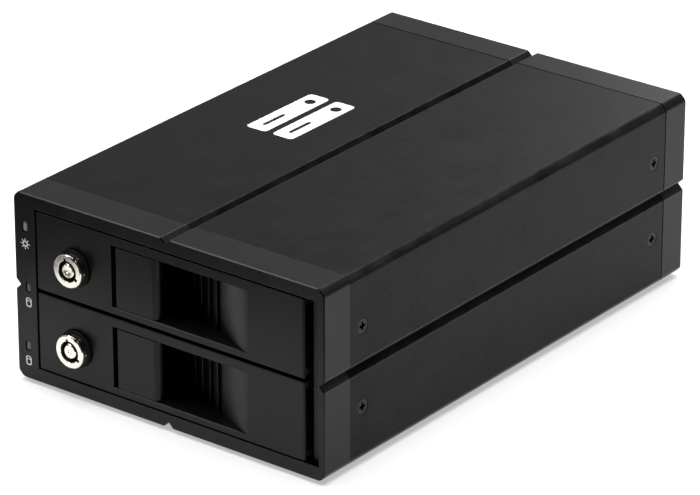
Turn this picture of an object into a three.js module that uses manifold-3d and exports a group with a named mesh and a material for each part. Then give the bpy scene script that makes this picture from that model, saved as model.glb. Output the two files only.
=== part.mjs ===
// Two-bay network attached storage box for 3.5 inch drives.
// Millimetres. X is the width, Y runs from the front face (y = 0) to the rear, Z is up from the case bottom.
// The exported group shifts that frame so that its origin is the middle of the footprint, on the table.
import * as THREE from "three";
import { mergeVertices } from "three/addons/utils/BufferGeometryUtils.js";
import Module from "manifold-3d";

const wasm = await Module();
wasm.setup();

// ---------------------------------------------------------------- driving dimensions
const WIDTH = 134;
const DEPTH = 210;
const HEIGHT = 70;
const FOOT_HEIGHT = 1.5;
const FOOT_RADIUS = 5;
const LOCK_PROUD = 3.6; // how far the lock caps stand in front of the front face
const CHAMFER = 2.2; // 45 degree chamfer along the four long edges
const GROOVE = 2; // half width and depth of the V groove in the middle of each side
const WALL = 1.8; // aluminium sleeve
const FRONT_BEZEL = 14;
const REAR_BEZEL = 13;
const MID_Z = HEIGHT / 2;
const SLEEVE_END = DEPTH - REAR_BEZEL;

// Front opening, with a shallow recess on its right where the doors swing.
const OPENING = { left: -57.7, right: 60.3, recess: 64.5, low: 5, high: 65.1, recessDepth: 3 };

// Doors: one per bay, at the same pitch as the bays.
const DOOR = { left: -57.2, right: 58.5, height: 28.7, front: 0.3, skin: 3, rib: 1.5, ribBack: 8 };
const DOOR_BOTTOM = 5.4;
const BAY_PITCH = 30.15;
const BAYS = ["lower", "upper"];

// Finger pocket in each door, from the latch slot on its left to where the ramp meets the front.
const POCKET = { left: -24, deepEnd: -3.9, rampEnd: 35.5, low: 2.5, high: 25.3, shell: 2.4 };
const RAMP_SLOPE = 0.501;
const RAMP_BLEND = 9; // length over which the ramp rounds into the front face
const RIB_GROOVES = { count: 4, first: 17.5, pitch: 5.2, width: 2.4, depth: 1.2 };

// Latch paddle at the left of the pocket; it turns on an upright pin.
const PADDLE = { left: -22, right: -3.9, thickness: 2.55, edgeRadius: 2.5, gap: 0.35 };
const PADDLE_PIN = { x: -20.6, y: 4.6, radius: 0.8 };
const BARREL_RADIUS = 1.7;
const SPRING_ROOM = 4.5; // length of the pin left free above the barrel for the return spring
const BARB = { left: -24.3, right: -19.6, front: 18.4, back: 20.4, play: 0.6 };

// Door hinge at the right end, on an upright pin in two ears of the tray.
const HINGE = { x: 56.2, y: 3.4, pin: 1.2, ear: 1.9, earThickness: 2.4, earInset: 0.6, notch: 3.3 };
const RUNNING = 0.08; // radial clearance of a pin that turns

// Tubular key lock.
const LOCK = { x: -40.4, z: 12.4, cap: 6.1, flange: 6.9, barrel: 5.9, back: 14, bore: 3.7 };
const PLUG = { post: 2.6, body: 3.6, tail: 1.9 };
const CAM = { front: 15, back: 17, reach: 16.5, endRadius: 2.5, hubRadius: 4.4, restAngle: 50 };

// Bays, trays and drives.
const CAGE = { half: 60.4, sheet: 0.9, front: 27, back: 175 };
const BAY = { floor: 0.2, ceiling: 28.4 }; // above the door's bottom edge
const DRIVE = { width: 101.6, length: 147, height: 26.1, front: 22.2, lid: 3, lidInset: 2 };
const DRIVE_BOARD = { halfX: 45, front: 51, underside: 0.6, thickness: 1.6 };
const TRAY = { base: 0.5, sheet: 1.2, side: 1.7, sideTop: 14, wallFront: 19.2, wallBack: 21.2, back: 167 };
const TRAY_WALL = { left: -56.5, right: 58.3, top: 28 };
const TRAY_WINDOW = { left: -27.4, right: -9, low: 7, high: 21 }; // where the paddle's barb reaches through
const TRAY_VENT = { starts: [6, 26], width: 14 };
const TRAY_SLOT = { starts: [40, 82, 124], length: 30, halfX: 36 }; // air slots in the tray's floor
const RUNNER = { low: 6, high: 8.4, reach: 57.3, rail: 55.5 };

// Rear panel and what sits on it.
const PANEL = { front: 205, back: 206.5, halfX: 61, low: 5.2, high: 64.8, lip: 2, play: 0.3 };
const FAN = { x: 30, z: 35, size: 50, front: 194.7, back: 204.7, bore: 23.6, hub: 11, blades: 7 };
const ROTOR = { front: 196.6, back: 203.6 };
const BLADE = { length: 13, width: 7.2, thickness: 1.1, pitch: 0.75 };
const GUARD = { front: 206.8, back: 208, radii: [7, 13, 19, 25], wire: 1.4, bar: 58 };
const PORT_FACE = 207; // how far back the ports reach, 0.5 mm proud of the panel
const LAN = { x: -44, low: 10.9, high: 24.4, halfX: 8, front: 186 };
const USB = { x: -20, low: 10.9, high: 18.1, halfX: 7.2, front: 191 };
const JACK = { x: -46, z: 50, half: 6, collar: 4.3, bore: 3.1, pin: 1 };
const SWITCH = { x: -24, z: 50, back: 207.4, bodyX: 6, bodyZ: 9, flange: 1, holeX: 4.6, holeZ: 7.4 };
const RESET = { x: -6, z: 50, radius: 1.6, collar: 2.6 };

// Case screws, in line with the tabs of the bezels.
const SCREW = { fromSeam: 6.5, rise: 14.75, head: 2.75, shank: 1.4, countersink: 1.5, length: 5.2 };
const TAB = { halfZ: 4.5, inner: 61.5, outer: 64.9, reach: 12 };

// Indicator lights on the left of the front: distance from the left side, and height.
const LIGHTS = [
  { name: "light_pipe_power", fromLeft: 4.8, z: 57.5 },
  { name: "light_pipe_upper", fromLeft: 5.6, z: 34.9 },
  { name: "light_pipe_lower", fromLeft: 4.8, z: 12.6 },
];
const LIGHT = { halfX: 1, halfZ: 1.9, back: 26 };

// ---------------------------------------------------------------- materials
const finish = (color, roughness, metalness) => () =>
  new THREE.MeshStandardMaterial({ color, roughness, metalness });
const anodised = finish(0x1b1b1d, 0.42, 0.85);
const bezelPaint = finish(0x222224, 0.4, 0.7);
const glossBlack = finish(0x0c0c0d, 0.2, 0);
const matteBlack = finish(0x161617, 0.6, 0);
const nickel = finish(0xd8d0c2, 0.25, 1);
const steel = finish(0x9da0a3, 0.4, 1);
const blackenedSteel = finish(0x3c3c3e, 0.35, 1);
const blackSteel = finish(0x1a1a1b, 0.45, 0.6);
const castAluminium = finish(0xb4b6b8, 0.5, 0.9);
const board = finish(0x17442a, 0.5, 0.1);
const rubber = finish(0x101010, 0.85, 0);
const clearPipe = finish(0xcfd3d6, 0.3, 0);

// ---------------------------------------------------------------- solids
const solid = (geometry) => {
  const bare = geometry.index ? geometry.toNonIndexed() : geometry;
  bare.deleteAttribute("normal");
  bare.deleteAttribute("uv");
  const merged = mergeVertices(bare, 1e-4);
  return new wasm.Manifold(
    new wasm.Mesh({
      numProp: 3,
      vertProperties: merged.attributes.position.array,
      triVerts: new Uint32Array(merged.index.array),
    }),
  );
};

const box = (x0, x1, y0, y1, z0, z1) =>
  solid(
    new THREE.BoxGeometry(x1 - x0, y1 - y0, z1 - z0).translate((x0 + x1) / 2, (y0 + y1) / 2, (z0 + z1) / 2),
  );

const extrude = (shape, depth) =>
  new THREE.ExtrudeGeometry(shape, { depth, bevelEnabled: false, curveSegments: 10 });

// A shape drawn in X and Z, running from y0 to y1.
const alongY = (shape, y0, y1) => solid(extrude(shape, y1 - y0).rotateX(Math.PI / 2).translate(0, y1, 0));

// A shape drawn in X and Y, running from z0 to z1.
const alongZ = (shape, z0, z1) => solid(extrude(shape, z1 - z0).translate(0, 0, z0));

const rodY = (x, z, radius, y0, y1, sides = 28) =>
  solid(new THREE.CylinderGeometry(radius, radius, y1 - y0, sides).translate(x, (y0 + y1) / 2, z));

const rodZ = (x, y, radius, z0, z1, sides = 24) =>
  solid(
    new THREE.CylinderGeometry(radius, radius, z1 - z0, sides)
      .rotateX(Math.PI / 2)
      .translate(x, y, (z0 + z1) / 2),
  );

// A turned piece about X: the profile gives radius and distance inwards from the side face.
const turnedX = (profile, side, y, z) =>
  solid(
    new THREE.LatheGeometry(profile.map(([r, d]) => new THREE.Vector2(r, d)), 20)
      .rotateZ(side > 0 ? Math.PI / 2 : -Math.PI / 2)
      .translate((side * WIDTH) / 2, y, z),
  );

const polygon = (points) => new THREE.Shape(points.map(([a, b]) => new THREE.Vector2(a, b)));

const union = (...pieces) => pieces.reduce((all, piece) => all.add(piece));

const cut = (body, ...tools) => tools.reduce((left, tool) => left.subtract(tool), body);

const group = new THREE.Group();
group.position.set(0, (LOCK_PROUD - DEPTH) / 2, FOOT_HEIGHT);

const place = (name, piece, material) => {
  const made = piece.getMesh();
  const geometry = new THREE.BufferGeometry();
  geometry.setAttribute("position", new THREE.BufferAttribute(Float32Array.from(made.vertProperties), 3));
  geometry.setIndex(new THREE.BufferAttribute(Uint32Array.from(made.triVerts), 1));
  geometry.computeVertexNormals();
  const mesh = new THREE.Mesh(geometry, material());
  mesh.name = name;
  group.add(mesh);
};

// ---------------------------------------------------------------- case
// The case section, drawn inwards by inset: a chamfered rectangle with a V notch in the middle of each side.
const caseSection = (inset) => {
  const x = WIDTH / 2 - inset;
  const z = HEIGHT / 2 - inset;
  const c = CHAMFER - inset * (2 - Math.SQRT2);
  const g = GROOVE + inset * (Math.SQRT2 - 1);
  const apex = GROOVE + inset * Math.SQRT2;
  const quarter = [
    [g, z],
    [x - c, z],
    [x, z - c],
    [x, g],
  ];
  const points = [
    [0, HEIGHT / 2 - apex],
    ...quarter,
    [WIDTH / 2 - apex, 0],
    ...quarter.map(([a, b]) => [a, -b]).reverse(),
    [0, apex - HEIGHT / 2],
    ...quarter.map(([a, b]) => [-a, -b]),
    [apex - WIDTH / 2, 0],
    ...quarter.map(([a, b]) => [-a, b]).reverse(),
  ];
  return polygon(points.map(([a, b]) => [a, b + MID_Z]).reverse());
};

const screwPlaces = [];
for (const side of [-1, 1]) {
  for (const [end, y] of [
    ["front", FRONT_BEZEL + SCREW.fromSeam],
    ["rear", SLEEVE_END - SCREW.fromSeam],
  ]) {
    for (const level of [-1, 1]) {
      const name = `case_screw_${end}_${side < 0 ? "left" : "right"}_${level < 0 ? "low" : "high"}`;
      screwPlaces.push({ name, side, end, y, z: MID_Z + level * SCREW.rise });
    }
  }
}

const screwHole = ({ side, y, z }, play) =>
  turnedX(
    [
      [0, -1],
      [SCREW.head + play, -1],
      [SCREW.head + play, 0],
      [SCREW.shank + play, SCREW.countersink],
      [SCREW.shank + play, SCREW.length + 2],
      [0, SCREW.length + 2],
    ],
    side,
    y,
    z,
  );

const sleeve = () => {
  const shell = cut(
    alongY(caseSection(0), FRONT_BEZEL, SLEEVE_END),
    alongY(caseSection(WALL), FRONT_BEZEL - 1, SLEEVE_END + 1),
  );
  return cut(shell, ...screwPlaces.map((s) => screwHole(s, 0.15)));
};

// The four tabs that a bezel reaches into the sleeve with, one behind each case screw.
const bezelTabs = (end, y0, y1) =>
  screwPlaces
    .filter((s) => s.end === end)
    .map((s) => {
      const [a, b] = [s.side * TAB.inner, s.side * TAB.outer].sort((p, q) => p - q);
      return cut(box(a, b, y0, y1, s.z - TAB.halfZ, s.z + TAB.halfZ), screwHole(s, 0.1));
    });

const lightHole = ({ fromLeft, z }, play, y0, y1) => {
  const x = fromLeft - WIDTH / 2;
  const oval = new THREE.Shape();
  const r = LIGHT.halfX + play;
  const straight = LIGHT.halfZ - LIGHT.halfX;
  oval.absarc(x, z + straight, r, 0, Math.PI);
  oval.absarc(x, z - straight, r, Math.PI, 2 * Math.PI);
  oval.closePath();
  return alongY(oval, y0, y1);
};

const frontBezel = () => {
  const { left, right, recess, low, high, recessDepth } = OPENING;
  const ring = cut(
    alongY(caseSection(0), 0, FRONT_BEZEL - 0.05),
    box(left, right, -1, FRONT_BEZEL + 1, low, high),
    box(right - 1, recess, -1, recessDepth, low, high),
    ...LIGHTS.map((l) => lightHole(l, 0.1, -1, FRONT_BEZEL + 1)),
  );
  return union(ring, ...bezelTabs("front", FRONT_BEZEL - 1, FRONT_BEZEL + TAB.reach));
};

const rearBezel = () => {
  const { halfX, low, high, back, lip, play } = PANEL;
  const ring = cut(
    alongY(caseSection(0), SLEEVE_END + 0.05, DEPTH),
    box(-halfX - play, halfX + play, SLEEVE_END - 1, back + 0.1, low - play, high + play),
    box(lip - halfX, halfX - lip, SLEEVE_END, DEPTH + 1, low + lip, high - lip),
  );
  return union(ring, ...bezelTabs("rear", SLEEVE_END - TAB.reach, SLEEVE_END + 1));
};

place("sleeve", sleeve(), anodised);
place("front_bezel", frontBezel(), bezelPaint);
place("rear_bezel", rearBezel(), bezelPaint);

for (const { name, side, y, z } of screwPlaces) {
  const body = turnedX(
    [
      [0, 0.1],
      [SCREW.head, 0.1],
      [SCREW.shank, SCREW.countersink],
      [SCREW.shank, SCREW.length],
      [0, SCREW.length],
    ],
    side,
    y,
    z,
  );
  const x = (side * WIDTH) / 2;
  const slots = [
    box(x - 0.9, x + 0.9, y - 1.5, y + 1.5, z - 0.3, z + 0.3),
    box(x - 0.9, x + 0.9, y - 0.3, y + 0.3, z - 1.5, z + 1.5),
  ];
  place(name, cut(body, ...slots), blackenedSteel);
}

for (const [sideName, x] of [
  ["left", -50],
  ["right", 50],
]) {
  for (const [endName, y] of [
    ["front", 26],
    ["rear", 185],
  ]) {
    place(`foot_${endName}_${sideName}`, rodZ(x, y, FOOT_RADIUS, -FOOT_HEIGHT, -0.05, 28), rubber);
  }
}

for (const light of LIGHTS) {
  place(light.name, lightHole(light, 0, 0, LIGHT.back), clearPipe);
}
place("led_board", box(-62.2, -60.7, LIGHT.back + 0.3, LIGHT.back + 1.8, 8, 62), board);

// ---------------------------------------------------------------- drive cage and boards
const bayBottom = (index) => DOOR_BOTTOM + index * BAY_PITCH;

const bayCage = () => {
  const { half, sheet, front, back } = CAGE;
  const low = bayBottom(0) + BAY.floor - sheet;
  const high = bayBottom(1) + BAY.ceiling + sheet;
  const inner = half - sheet;
  const bays = BAYS.map((_, i) =>
    box(-inner, inner, front - 1, back + 1, bayBottom(i) + BAY.floor, bayBottom(i) + BAY.ceiling),
  );
  const rails = BAYS.flatMap((_, i) =>
    [-1, 1].flatMap((side) =>
      [RUNNER.low - 1.4, RUNNER.high + 0.4].map((rise) => {
        const [a, b] = [side * RUNNER.rail, side * (half - sheet / 2)].sort((p, q) => p - q);
        return box(a, b, front + 4, back, bayBottom(i) + rise, bayBottom(i) + rise + 1);
      }),
    ),
  );
  return union(cut(box(-half, half, front, back, low, high), ...bays), ...rails);
};
place("bay_cage", bayCage(), steel);

// Board behind the cage, with air slots clear of the sockets.
const backplane = () => {
  const slot = (x, reach, z0, z1) => box(x - reach, x + reach, CAGE.back, CAGE.back + 3, z0, z1);
  return cut(
    box(-58, 58, CAGE.back + 0.3, CAGE.back + 1.9, 6, 64),
    ...[-44, 44].map((x) => slot(x, 8, 24, 30)),
    ...[-36, -12, 12, 36].map((x) => slot(x, 9, 55, 60)),
  );
};
place("backplane", backplane(), board);

BAYS.forEach((bay, i) => {
  const z = bayBottom(i) + 3.2;
  const back = CAGE.back + 0.2;
  const y = DRIVE.front + DRIVE.length + 0.3;
  place(`sata_socket_${bay}`, box(-22, 20, y, back, z, z + 6), matteBlack);
});

place("main_board", box(-58, 3, 180, 204.4, 9, 10.6), board);

// ---------------------------------------------------------------- rear panel
const rearPanel = () => {
  const { front, back, halfX, low, high, play } = PANEL;
  const hole = (x, reach, z0, z1) =>
    box(x - reach - play, x + reach + play, front - 1, back + 1, z0 - play, z1 + play);
  const roundHole = (x, z, radius) => rodY(x, z, radius, front - 1, back + 1, 28);
  return cut(
    box(-halfX, halfX, front, back, low, high),
    rodY(FAN.x, FAN.z, FAN.bore, front - 1, back + 1, 40),
    hole(LAN.x, LAN.halfX, LAN.low, LAN.high),
    hole(USB.x, USB.halfX, USB.low, USB.high),
    hole(SWITCH.x, SWITCH.bodyX, SWITCH.z - SWITCH.bodyZ, SWITCH.z + SWITCH.bodyZ),
    roundHole(JACK.x, JACK.z, JACK.collar + play),
    roundHole(RESET.x, RESET.z, RESET.radius + play),
  );
};
place("rear_panel", rearPanel(), blackSteel);

// Network socket: a metal shell with the plug's opening and the slot of its latch above it.
const lanPort = () => {
  const { x, low, high, halfX, front } = LAN;
  const plug = { halfX: 5.9, low: low + 2.4, high: low + 10.4 };
  const latch = { halfX: 3, high: low + 12.2 };
  return cut(
    box(x - halfX, x + halfX, front, PORT_FACE, low, high),
    box(x - plug.halfX, x + plug.halfX, front + 8, PORT_FACE + 1, plug.low, plug.high),
    box(x - latch.halfX, x + latch.halfX, front + 10, PORT_FACE + 1, plug.high - 0.1, latch.high),
  );
};
place("lan_port", lanPort(), steel);

// USB socket: a shell with its tongue.
const usbPort = () => {
  const { x, low, high, halfX, front } = USB;
  const inner = { halfX: halfX - 0.9, low: low + 1.1, high: high - 1.1 };
  const shell = cut(
    box(x - halfX, x + halfX, front, PORT_FACE, low, high),
    box(x - inner.halfX, x + inner.halfX, front + 3, PORT_FACE + 1, inner.low, inner.high),
  );
  const tongue = box(x - 5.4, x + 5.4, front + 2.5, PORT_FACE - 1.4, low + 3.6, high - 1.6);
  return union(shell, tongue);
};
place("usb_port", usbPort(), steel);

// Barrel jack: a block behind the panel, its collar in the panel, and the centre pin.
const powerJack = () => {
  const { x, z, half, collar, bore, pin } = JACK;
  const shell = union(
    box(x - half, x + half, 193, PANEL.front - 0.3, z - half, z + half),
    rodY(x, z, collar, PANEL.front - 1, PORT_FACE, 28),
  );
  return union(cut(shell, rodY(x, z, bore, 196, PORT_FACE + 1, 24)), rodY(x, z, pin, 195.5, 206, 16));
};
place("power_jack", powerJack(), matteBlack);

const switchFrame = () => {
  const { x, z, back, bodyX, bodyZ, holeX, holeZ } = SWITCH;
  const [flangeX, flangeZ] = [bodyX + SWITCH.flange, bodyZ + SWITCH.flange];
  const flangeFront = PANEL.back + 0.2;
  return cut(
    union(
      box(x - bodyX, x + bodyX, 195, back, z - bodyZ, z + bodyZ),
      box(x - flangeX, x + flangeX, flangeFront, back, z - flangeZ, z + flangeZ),
    ),
    box(x - holeX, x + holeX, 199, back + 1, z - holeZ, z + holeZ),
  );
};
place("switch_frame", switchFrame(), matteBlack);

// The rocker's face is two flats that meet in the middle; it tips about a line across its middle.
const switchRocker = () => {
  const width = 2 * SWITCH.holeX - 0.8;
  const side = polygon([
    [-6.6, 207.9],
    [-5.2, 201.5],
    [5.2, 201.5],
    [6.6, 206.3],
    [0, 206.6],
  ]);
  const upright = new THREE.Matrix4().makeBasis(
    new THREE.Vector3(0, 0, 1),
    new THREE.Vector3(0, 1, 0),
    new THREE.Vector3(-1, 0, 0),
  );
  return solid(extrude(side, width).applyMatrix4(upright).translate(SWITCH.x + width / 2, 0, SWITCH.z));
};
place("switch_rocker", switchRocker(), glossBlack);

const resetButton = () =>
  union(
    rodY(RESET.x, RESET.z, RESET.radius, 203, PORT_FACE + 0.2, 20),
    rodY(RESET.x, RESET.z, RESET.collar, 201.5, 203.2, 20),
  );
place("reset_button", resetButton(), matteBlack);

const fanFrame = () => {
  const { x, z, size, front, back, bore } = FAN;
  const half = size / 2;
  const spoke = { back: front + 1.2, half: 1.5, reach: half - 1 };
  return union(
    cut(box(x - half, x + half, front, back, z - half, z + half), rodY(x, z, bore, front - 1, back + 1, 40)),
    box(x - spoke.reach, x + spoke.reach, front, spoke.back, z - spoke.half, z + spoke.half),
    box(x - spoke.half, x + spoke.half, front, spoke.back, z - spoke.reach, z + spoke.reach),
    rodY(x, z, FAN.hub - 1, front, spoke.back, 28),
  );
};
place("fan_frame", fanFrame(), matteBlack);

const fanRotor = () => {
  const { front, back } = ROTOR;
  const blades = Array.from({ length: FAN.blades }, (_, i) =>
    solid(
      new THREE.BoxGeometry(BLADE.length, BLADE.thickness, BLADE.width)
        .rotateX(BLADE.pitch)
        .translate(FAN.hub + BLADE.length / 2 - 1.5, 0, 0)
        .rotateY((2 * Math.PI * i) / FAN.blades)
        .translate(FAN.x, (front + back) / 2 + 0.1, FAN.z),
    ),
  );
  return union(rodY(FAN.x, FAN.z, FAN.hub, front, back, 28), ...blades);
};
place("fan_rotor", fanRotor(), matteBlack);

const fanGuard = () => {
  const { front, back, radii, wire, bar } = GUARD;
  const rings = radii.map((r) =>
    cut(rodY(FAN.x, FAN.z, r, front, back, 24), rodY(FAN.x, FAN.z, r - wire, front - 1, back + 1, 24)),
  );
  const bars = [Math.PI / 4, -Math.PI / 4].map((turn) =>
    solid(
      new THREE.BoxGeometry(bar, back - front, 1.6)
        .rotateY(turn)
        .translate(FAN.x, (front + back) / 2, FAN.z),
    ),
  );
  return union(...rings, ...bars);
};
place("fan_guard", fanGuard(), blackSteel);

// ---------------------------------------------------------------- doors
// Depth of the pocket's ramp behind the front at x: it leaves the front smoothly and nears a straight slope.
const rampDepth = (x) => {
  const t = Math.max(POCKET.rampEnd - x, 0);
  return DOOR.front + (RAMP_SLOPE * t * t) / (t + RAMP_BLEND);
};

// The ramp from its end at the front down to the pocket's deep end, moved back by shift.
const rampLine = (shift, steps = 16) =>
  Array.from({ length: steps + 1 }, (_, i) => {
    const x = POCKET.rampEnd + ((POCKET.deepEnd - POCKET.rampEnd) * i) / steps;
    return [x, rampDepth(x) + shift];
  });

const door = (z) => {
  const { left, right, height, front, skin, rib, ribBack } = DOOR;
  const top = z + height;
  const [low, high] = [z + POCKET.low, z + POCKET.high];
  const middle = (low + high) / 2;
  const deep = rampDepth(POCKET.deepEnd);
  const housing = polygon([
    [POCKET.rampEnd + 1, front + 1],
    ...rampLine(POCKET.shell),
    [POCKET.left - POCKET.shell, deep + POCKET.shell],
    [POCKET.left - POCKET.shell, front + 1],
  ]);
  const cavity = polygon([
    [POCKET.rampEnd, front - 1],
    ...rampLine(0),
    [POCKET.left, deep],
    [POCKET.left, front - 1],
  ]);
  const ribCuts = Array.from({ length: RIB_GROOVES.count }, (_, i) => {
    const x = RIB_GROOVES.first - i * RIB_GROOVES.pitch;
    const [a, b] = [x - RIB_GROOVES.width / 2, x + RIB_GROOVES.width / 2];
    const groove = polygon([
      [a, rampDepth(a) - 3],
      [b, rampDepth(b) - 3],
      [b, rampDepth(b) + RIB_GROOVES.depth],
      [a, rampDepth(a) + RIB_GROOVES.depth],
    ]);
    return alongZ(groove, low, high);
  });
  const ribEnd = HINGE.x - 4;
  const body = union(
    box(left, right, front, front + skin, z, top),
    box(left, ribEnd, front + 1, ribBack, z, z + rib),
    box(left, ribEnd, front + 1, ribBack, top - rib, top),
    box(left, left + rib, front + 1, ribBack, z, top),
    box(50, right, front + 1, 6, z, top),
    alongZ(housing, low - 1.3, high + 1.3),
  );
  const notchLeft = HINGE.x - 2.8;
  return cut(
    body,
    alongZ(cavity, low, high),
    ...ribCuts,
    box(BARB.left - BARB.play, PADDLE_PIN.x + 9, deep - 2, deep + 5, middle - 4.2, middle + 4.2),
    rodY(LOCK.x, z + LOCK.z, LOCK.barrel + 0.15, -1, 12),
    box(notchLeft, right + 1, front + 0.9, 12, z - 1, z + HINGE.notch),
    box(notchLeft, right + 1, front + 0.9, 12, top - HINGE.notch, top + 1),
    rodZ(HINGE.x, HINGE.y, HINGE.pin + RUNNING, z - 1, top + 1),
    rodZ(PADDLE_PIN.x, PADDLE_PIN.y, PADDLE_PIN.radius + RUNNING, z + 1, top - 1, 16),
  );
};

// The paddle: a front plate with a rounded free edge, a barrel on the pin, and an arm with a barb.
const paddle = (z) => {
  const [low, high] = [z + POCKET.low + PADDLE.gap, z + POCKET.high - PADDLE.gap];
  const middle = (low + high) / 2;
  const [front, back] = [DOOR.front, DOOR.front + PADDLE.thickness];
  const r = PADDLE.edgeRadius;
  const plate = new THREE.Shape();
  plate.moveTo(PADDLE.left, front);
  plate.lineTo(PADDLE.right - r, front);
  plate.absarc(PADDLE.right - r, front + r, r, -Math.PI / 2, 0);
  plate.lineTo(PADDLE.right, back);
  plate.lineTo(PADDLE.left, back);
  plate.closePath();
  const { x, y } = PADDLE_PIN;
  const web = box(x - 1.2, x + 1.2, back - 0.5, y, low, high - SPRING_ROOM);
  const arm = box(x - 1.1, x + 1.1, y, BARB.back, middle - 3.4, middle + 3.4);
  const barb = box(BARB.left, BARB.right, BARB.front, BARB.back, middle - 3.4, middle + 3.4);
  return cut(
    union(
      alongZ(plate, low, high),
      web,
      rodZ(x, y, BARREL_RADIUS, low, high - SPRING_ROOM),
      arm,
      barb,
    ),
    rodZ(x, y, PADDLE_PIN.radius + RUNNING, low - 1, high + 1, 16),
  );
};

// Return spring of the paddle: a short coil round the pin, above the barrel.
const paddleSpring = (z) => {
  const turns = 3;
  const [radius, wire] = [1.35, 0.22];
  const low = z + POCKET.high - PADDLE.gap - SPRING_ROOM + 0.4;
  const pitch = 1;
  const points = Array.from({ length: turns * 10 + 1 }, (_, i) => {
    const turn = (2 * Math.PI * i) / 10;
    return new THREE.Vector3(
      PADDLE_PIN.x + radius * Math.cos(turn),
      PADDLE_PIN.y + radius * Math.sin(turn),
      low + (pitch * i) / 10,
    );
  });
  const section = new THREE.Shape();
  section.absarc(0, 0, wire, 0, 2 * Math.PI);
  return solid(
    new THREE.ExtrudeGeometry(section, {
      steps: turns * 12,
      curveSegments: 3,
      extrudePath: new THREE.CatmullRomCurve3(points),
    }),
  );
};

// ---------------------------------------------------------------- locks
const lockBody = (z) => {
  const { x, cap, flange, barrel, back, bore } = LOCK;
  const cz = z + LOCK.z;
  return cut(
    union(
      rodY(x, cz, cap, -LOCK_PROUD, 0, 36),
      rodY(x, cz, flange, -1, DOOR.front - 0.1, 36),
      rodY(x, cz, barrel, -1, back, 32),
    ),
    rodY(x, cz, bore, -LOCK_PROUD - 1, back + 1, 32),
  );
};

const lockPlug = (z) => {
  const { post, body, tail } = PLUG;
  const cz = z + LOCK.z;
  const bit = tail / Math.SQRT2;
  return union(
    rodY(LOCK.x, cz, post, 0.3 - LOCK_PROUD, 4, 28),
    rodY(LOCK.x, cz, body, 2.4, CAM.front - 0.3, 32),
    box(LOCK.x - bit, LOCK.x + bit, CAM.front - 1, CAM.back + 1, cz - bit, cz + bit),
  );
};

const lockCam = (z) => {
  const cz = z + LOCK.z;
  const angle = THREE.MathUtils.degToRad(180 - CAM.restAngle);
  const { reach, endRadius, hubRadius, front, back } = CAM;
  const bit = PLUG.tail / Math.SQRT2 + 0.1;
  const turned = (piece) => piece.rotateY(-angle).translate(LOCK.x, (front + back) / 2, cz);
  const arm = solid(
    turned(new THREE.BoxGeometry(reach, back - front, 2 * endRadius).translate(reach / 2, 0, 0)),
  );
  const tip = solid(
    turned(new THREE.CylinderGeometry(endRadius, endRadius, back - front, 24).translate(reach, 0, 0)),
  );
  return cut(
    union(arm, tip, rodY(LOCK.x, cz, hubRadius, front, back, 28)),
    box(LOCK.x - bit, LOCK.x + bit, front - 1, back + 1, cz - bit, cz + bit),
  );
};

const lockNut = (z) =>
  cut(
    rodY(LOCK.x, z + LOCK.z, 8, DOOR.front + DOOR.skin + 0.2, 6, 6),
    rodY(LOCK.x, z + LOCK.z, LOCK.barrel + 0.1, 0, 12, 32),
  );

// ---------------------------------------------------------------- trays and drives
const tray = (z) => {
  const inner = DRIVE.width / 2 + 0.4;
  const outer = inner + TRAY.side;
  const base = z + TRAY.base;
  const { wallFront, wallBack, back, sheet, sideTop } = TRAY;
  const windowAt = (x0, x1) =>
    box(x0, x1, wallFront - 1, wallBack + 1, z + TRAY_WINDOW.low, z + TRAY_WINDOW.high);
  const wall = cut(
    box(TRAY_WALL.left, TRAY_WALL.right, wallFront, wallBack, base, z + TRAY_WALL.top),
    windowAt(TRAY_WINDOW.left, TRAY_WINDOW.right),
    ...TRAY_VENT.starts.map((x) => windowAt(x, x + TRAY_VENT.width)),
  );
  const floor = cut(
    box(-outer, outer, wallFront, back, base, base + sheet),
    ...TRAY_SLOT.starts.map((y) =>
      box(-TRAY_SLOT.halfX, TRAY_SLOT.halfX, y, y + TRAY_SLOT.length, base - 1, base + sheet + 1),
    ),
  );
  const sides = [-1, 1].flatMap((side) => {
    const span = (a, b) => [side * a, side * b].sort((p, q) => p - q);
    return [
      box(...span(inner, outer), wallFront, back, base, z + sideTop),
      box(...span(outer - 0.5, RUNNER.reach), wallBack - 1, back, z + RUNNER.low, z + RUNNER.high),
    ];
  });
  const ears = [z + HINGE.earInset, z + DOOR.height - HINGE.earInset - HINGE.earThickness].map((low) => {
    const high = low + HINGE.earThickness;
    return cut(
      union(
        rodZ(HINGE.x, HINGE.y, HINGE.ear, low, high),
        box(HINGE.x - HINGE.ear, HINGE.x + HINGE.ear, HINGE.y, wallBack, low, high),
      ),
      rodZ(HINGE.x, HINGE.y, HINGE.pin + RUNNING, low - 1, high + 1),
    );
  });
  return union(wall, floor, ...sides, ...ears);
};

const driveLow = (z) => z + TRAY.base + TRAY.sheet + 0.1;

const driveCase = (z) => {
  const half = DRIVE.width / 2;
  const low = driveLow(z);
  const [y0, y1] = [DRIVE.front, DRIVE.front + DRIVE.length];
  const inset = DRIVE.lidInset;
  const body = union(
    box(-half, half, y0, y1, low, low + DRIVE.height - DRIVE.lid),
    box(inset - half, half - inset, y0 + inset, y1 - inset, low, low + DRIVE.height),
  );
  const reach = DRIVE_BOARD.halfX + 1;
  return cut(body, box(-reach, reach, y0 + DRIVE_BOARD.front - 1, y1 + 1, low - 1, low + 2.6));
};

const driveBoard = (z) => {
  const { halfX, front, underside, thickness } = DRIVE_BOARD;
  const low = driveLow(z) + underside;
  return box(-halfX, halfX, DRIVE.front + front, DRIVE.front + DRIVE.length, low, low + thickness);
};

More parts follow.
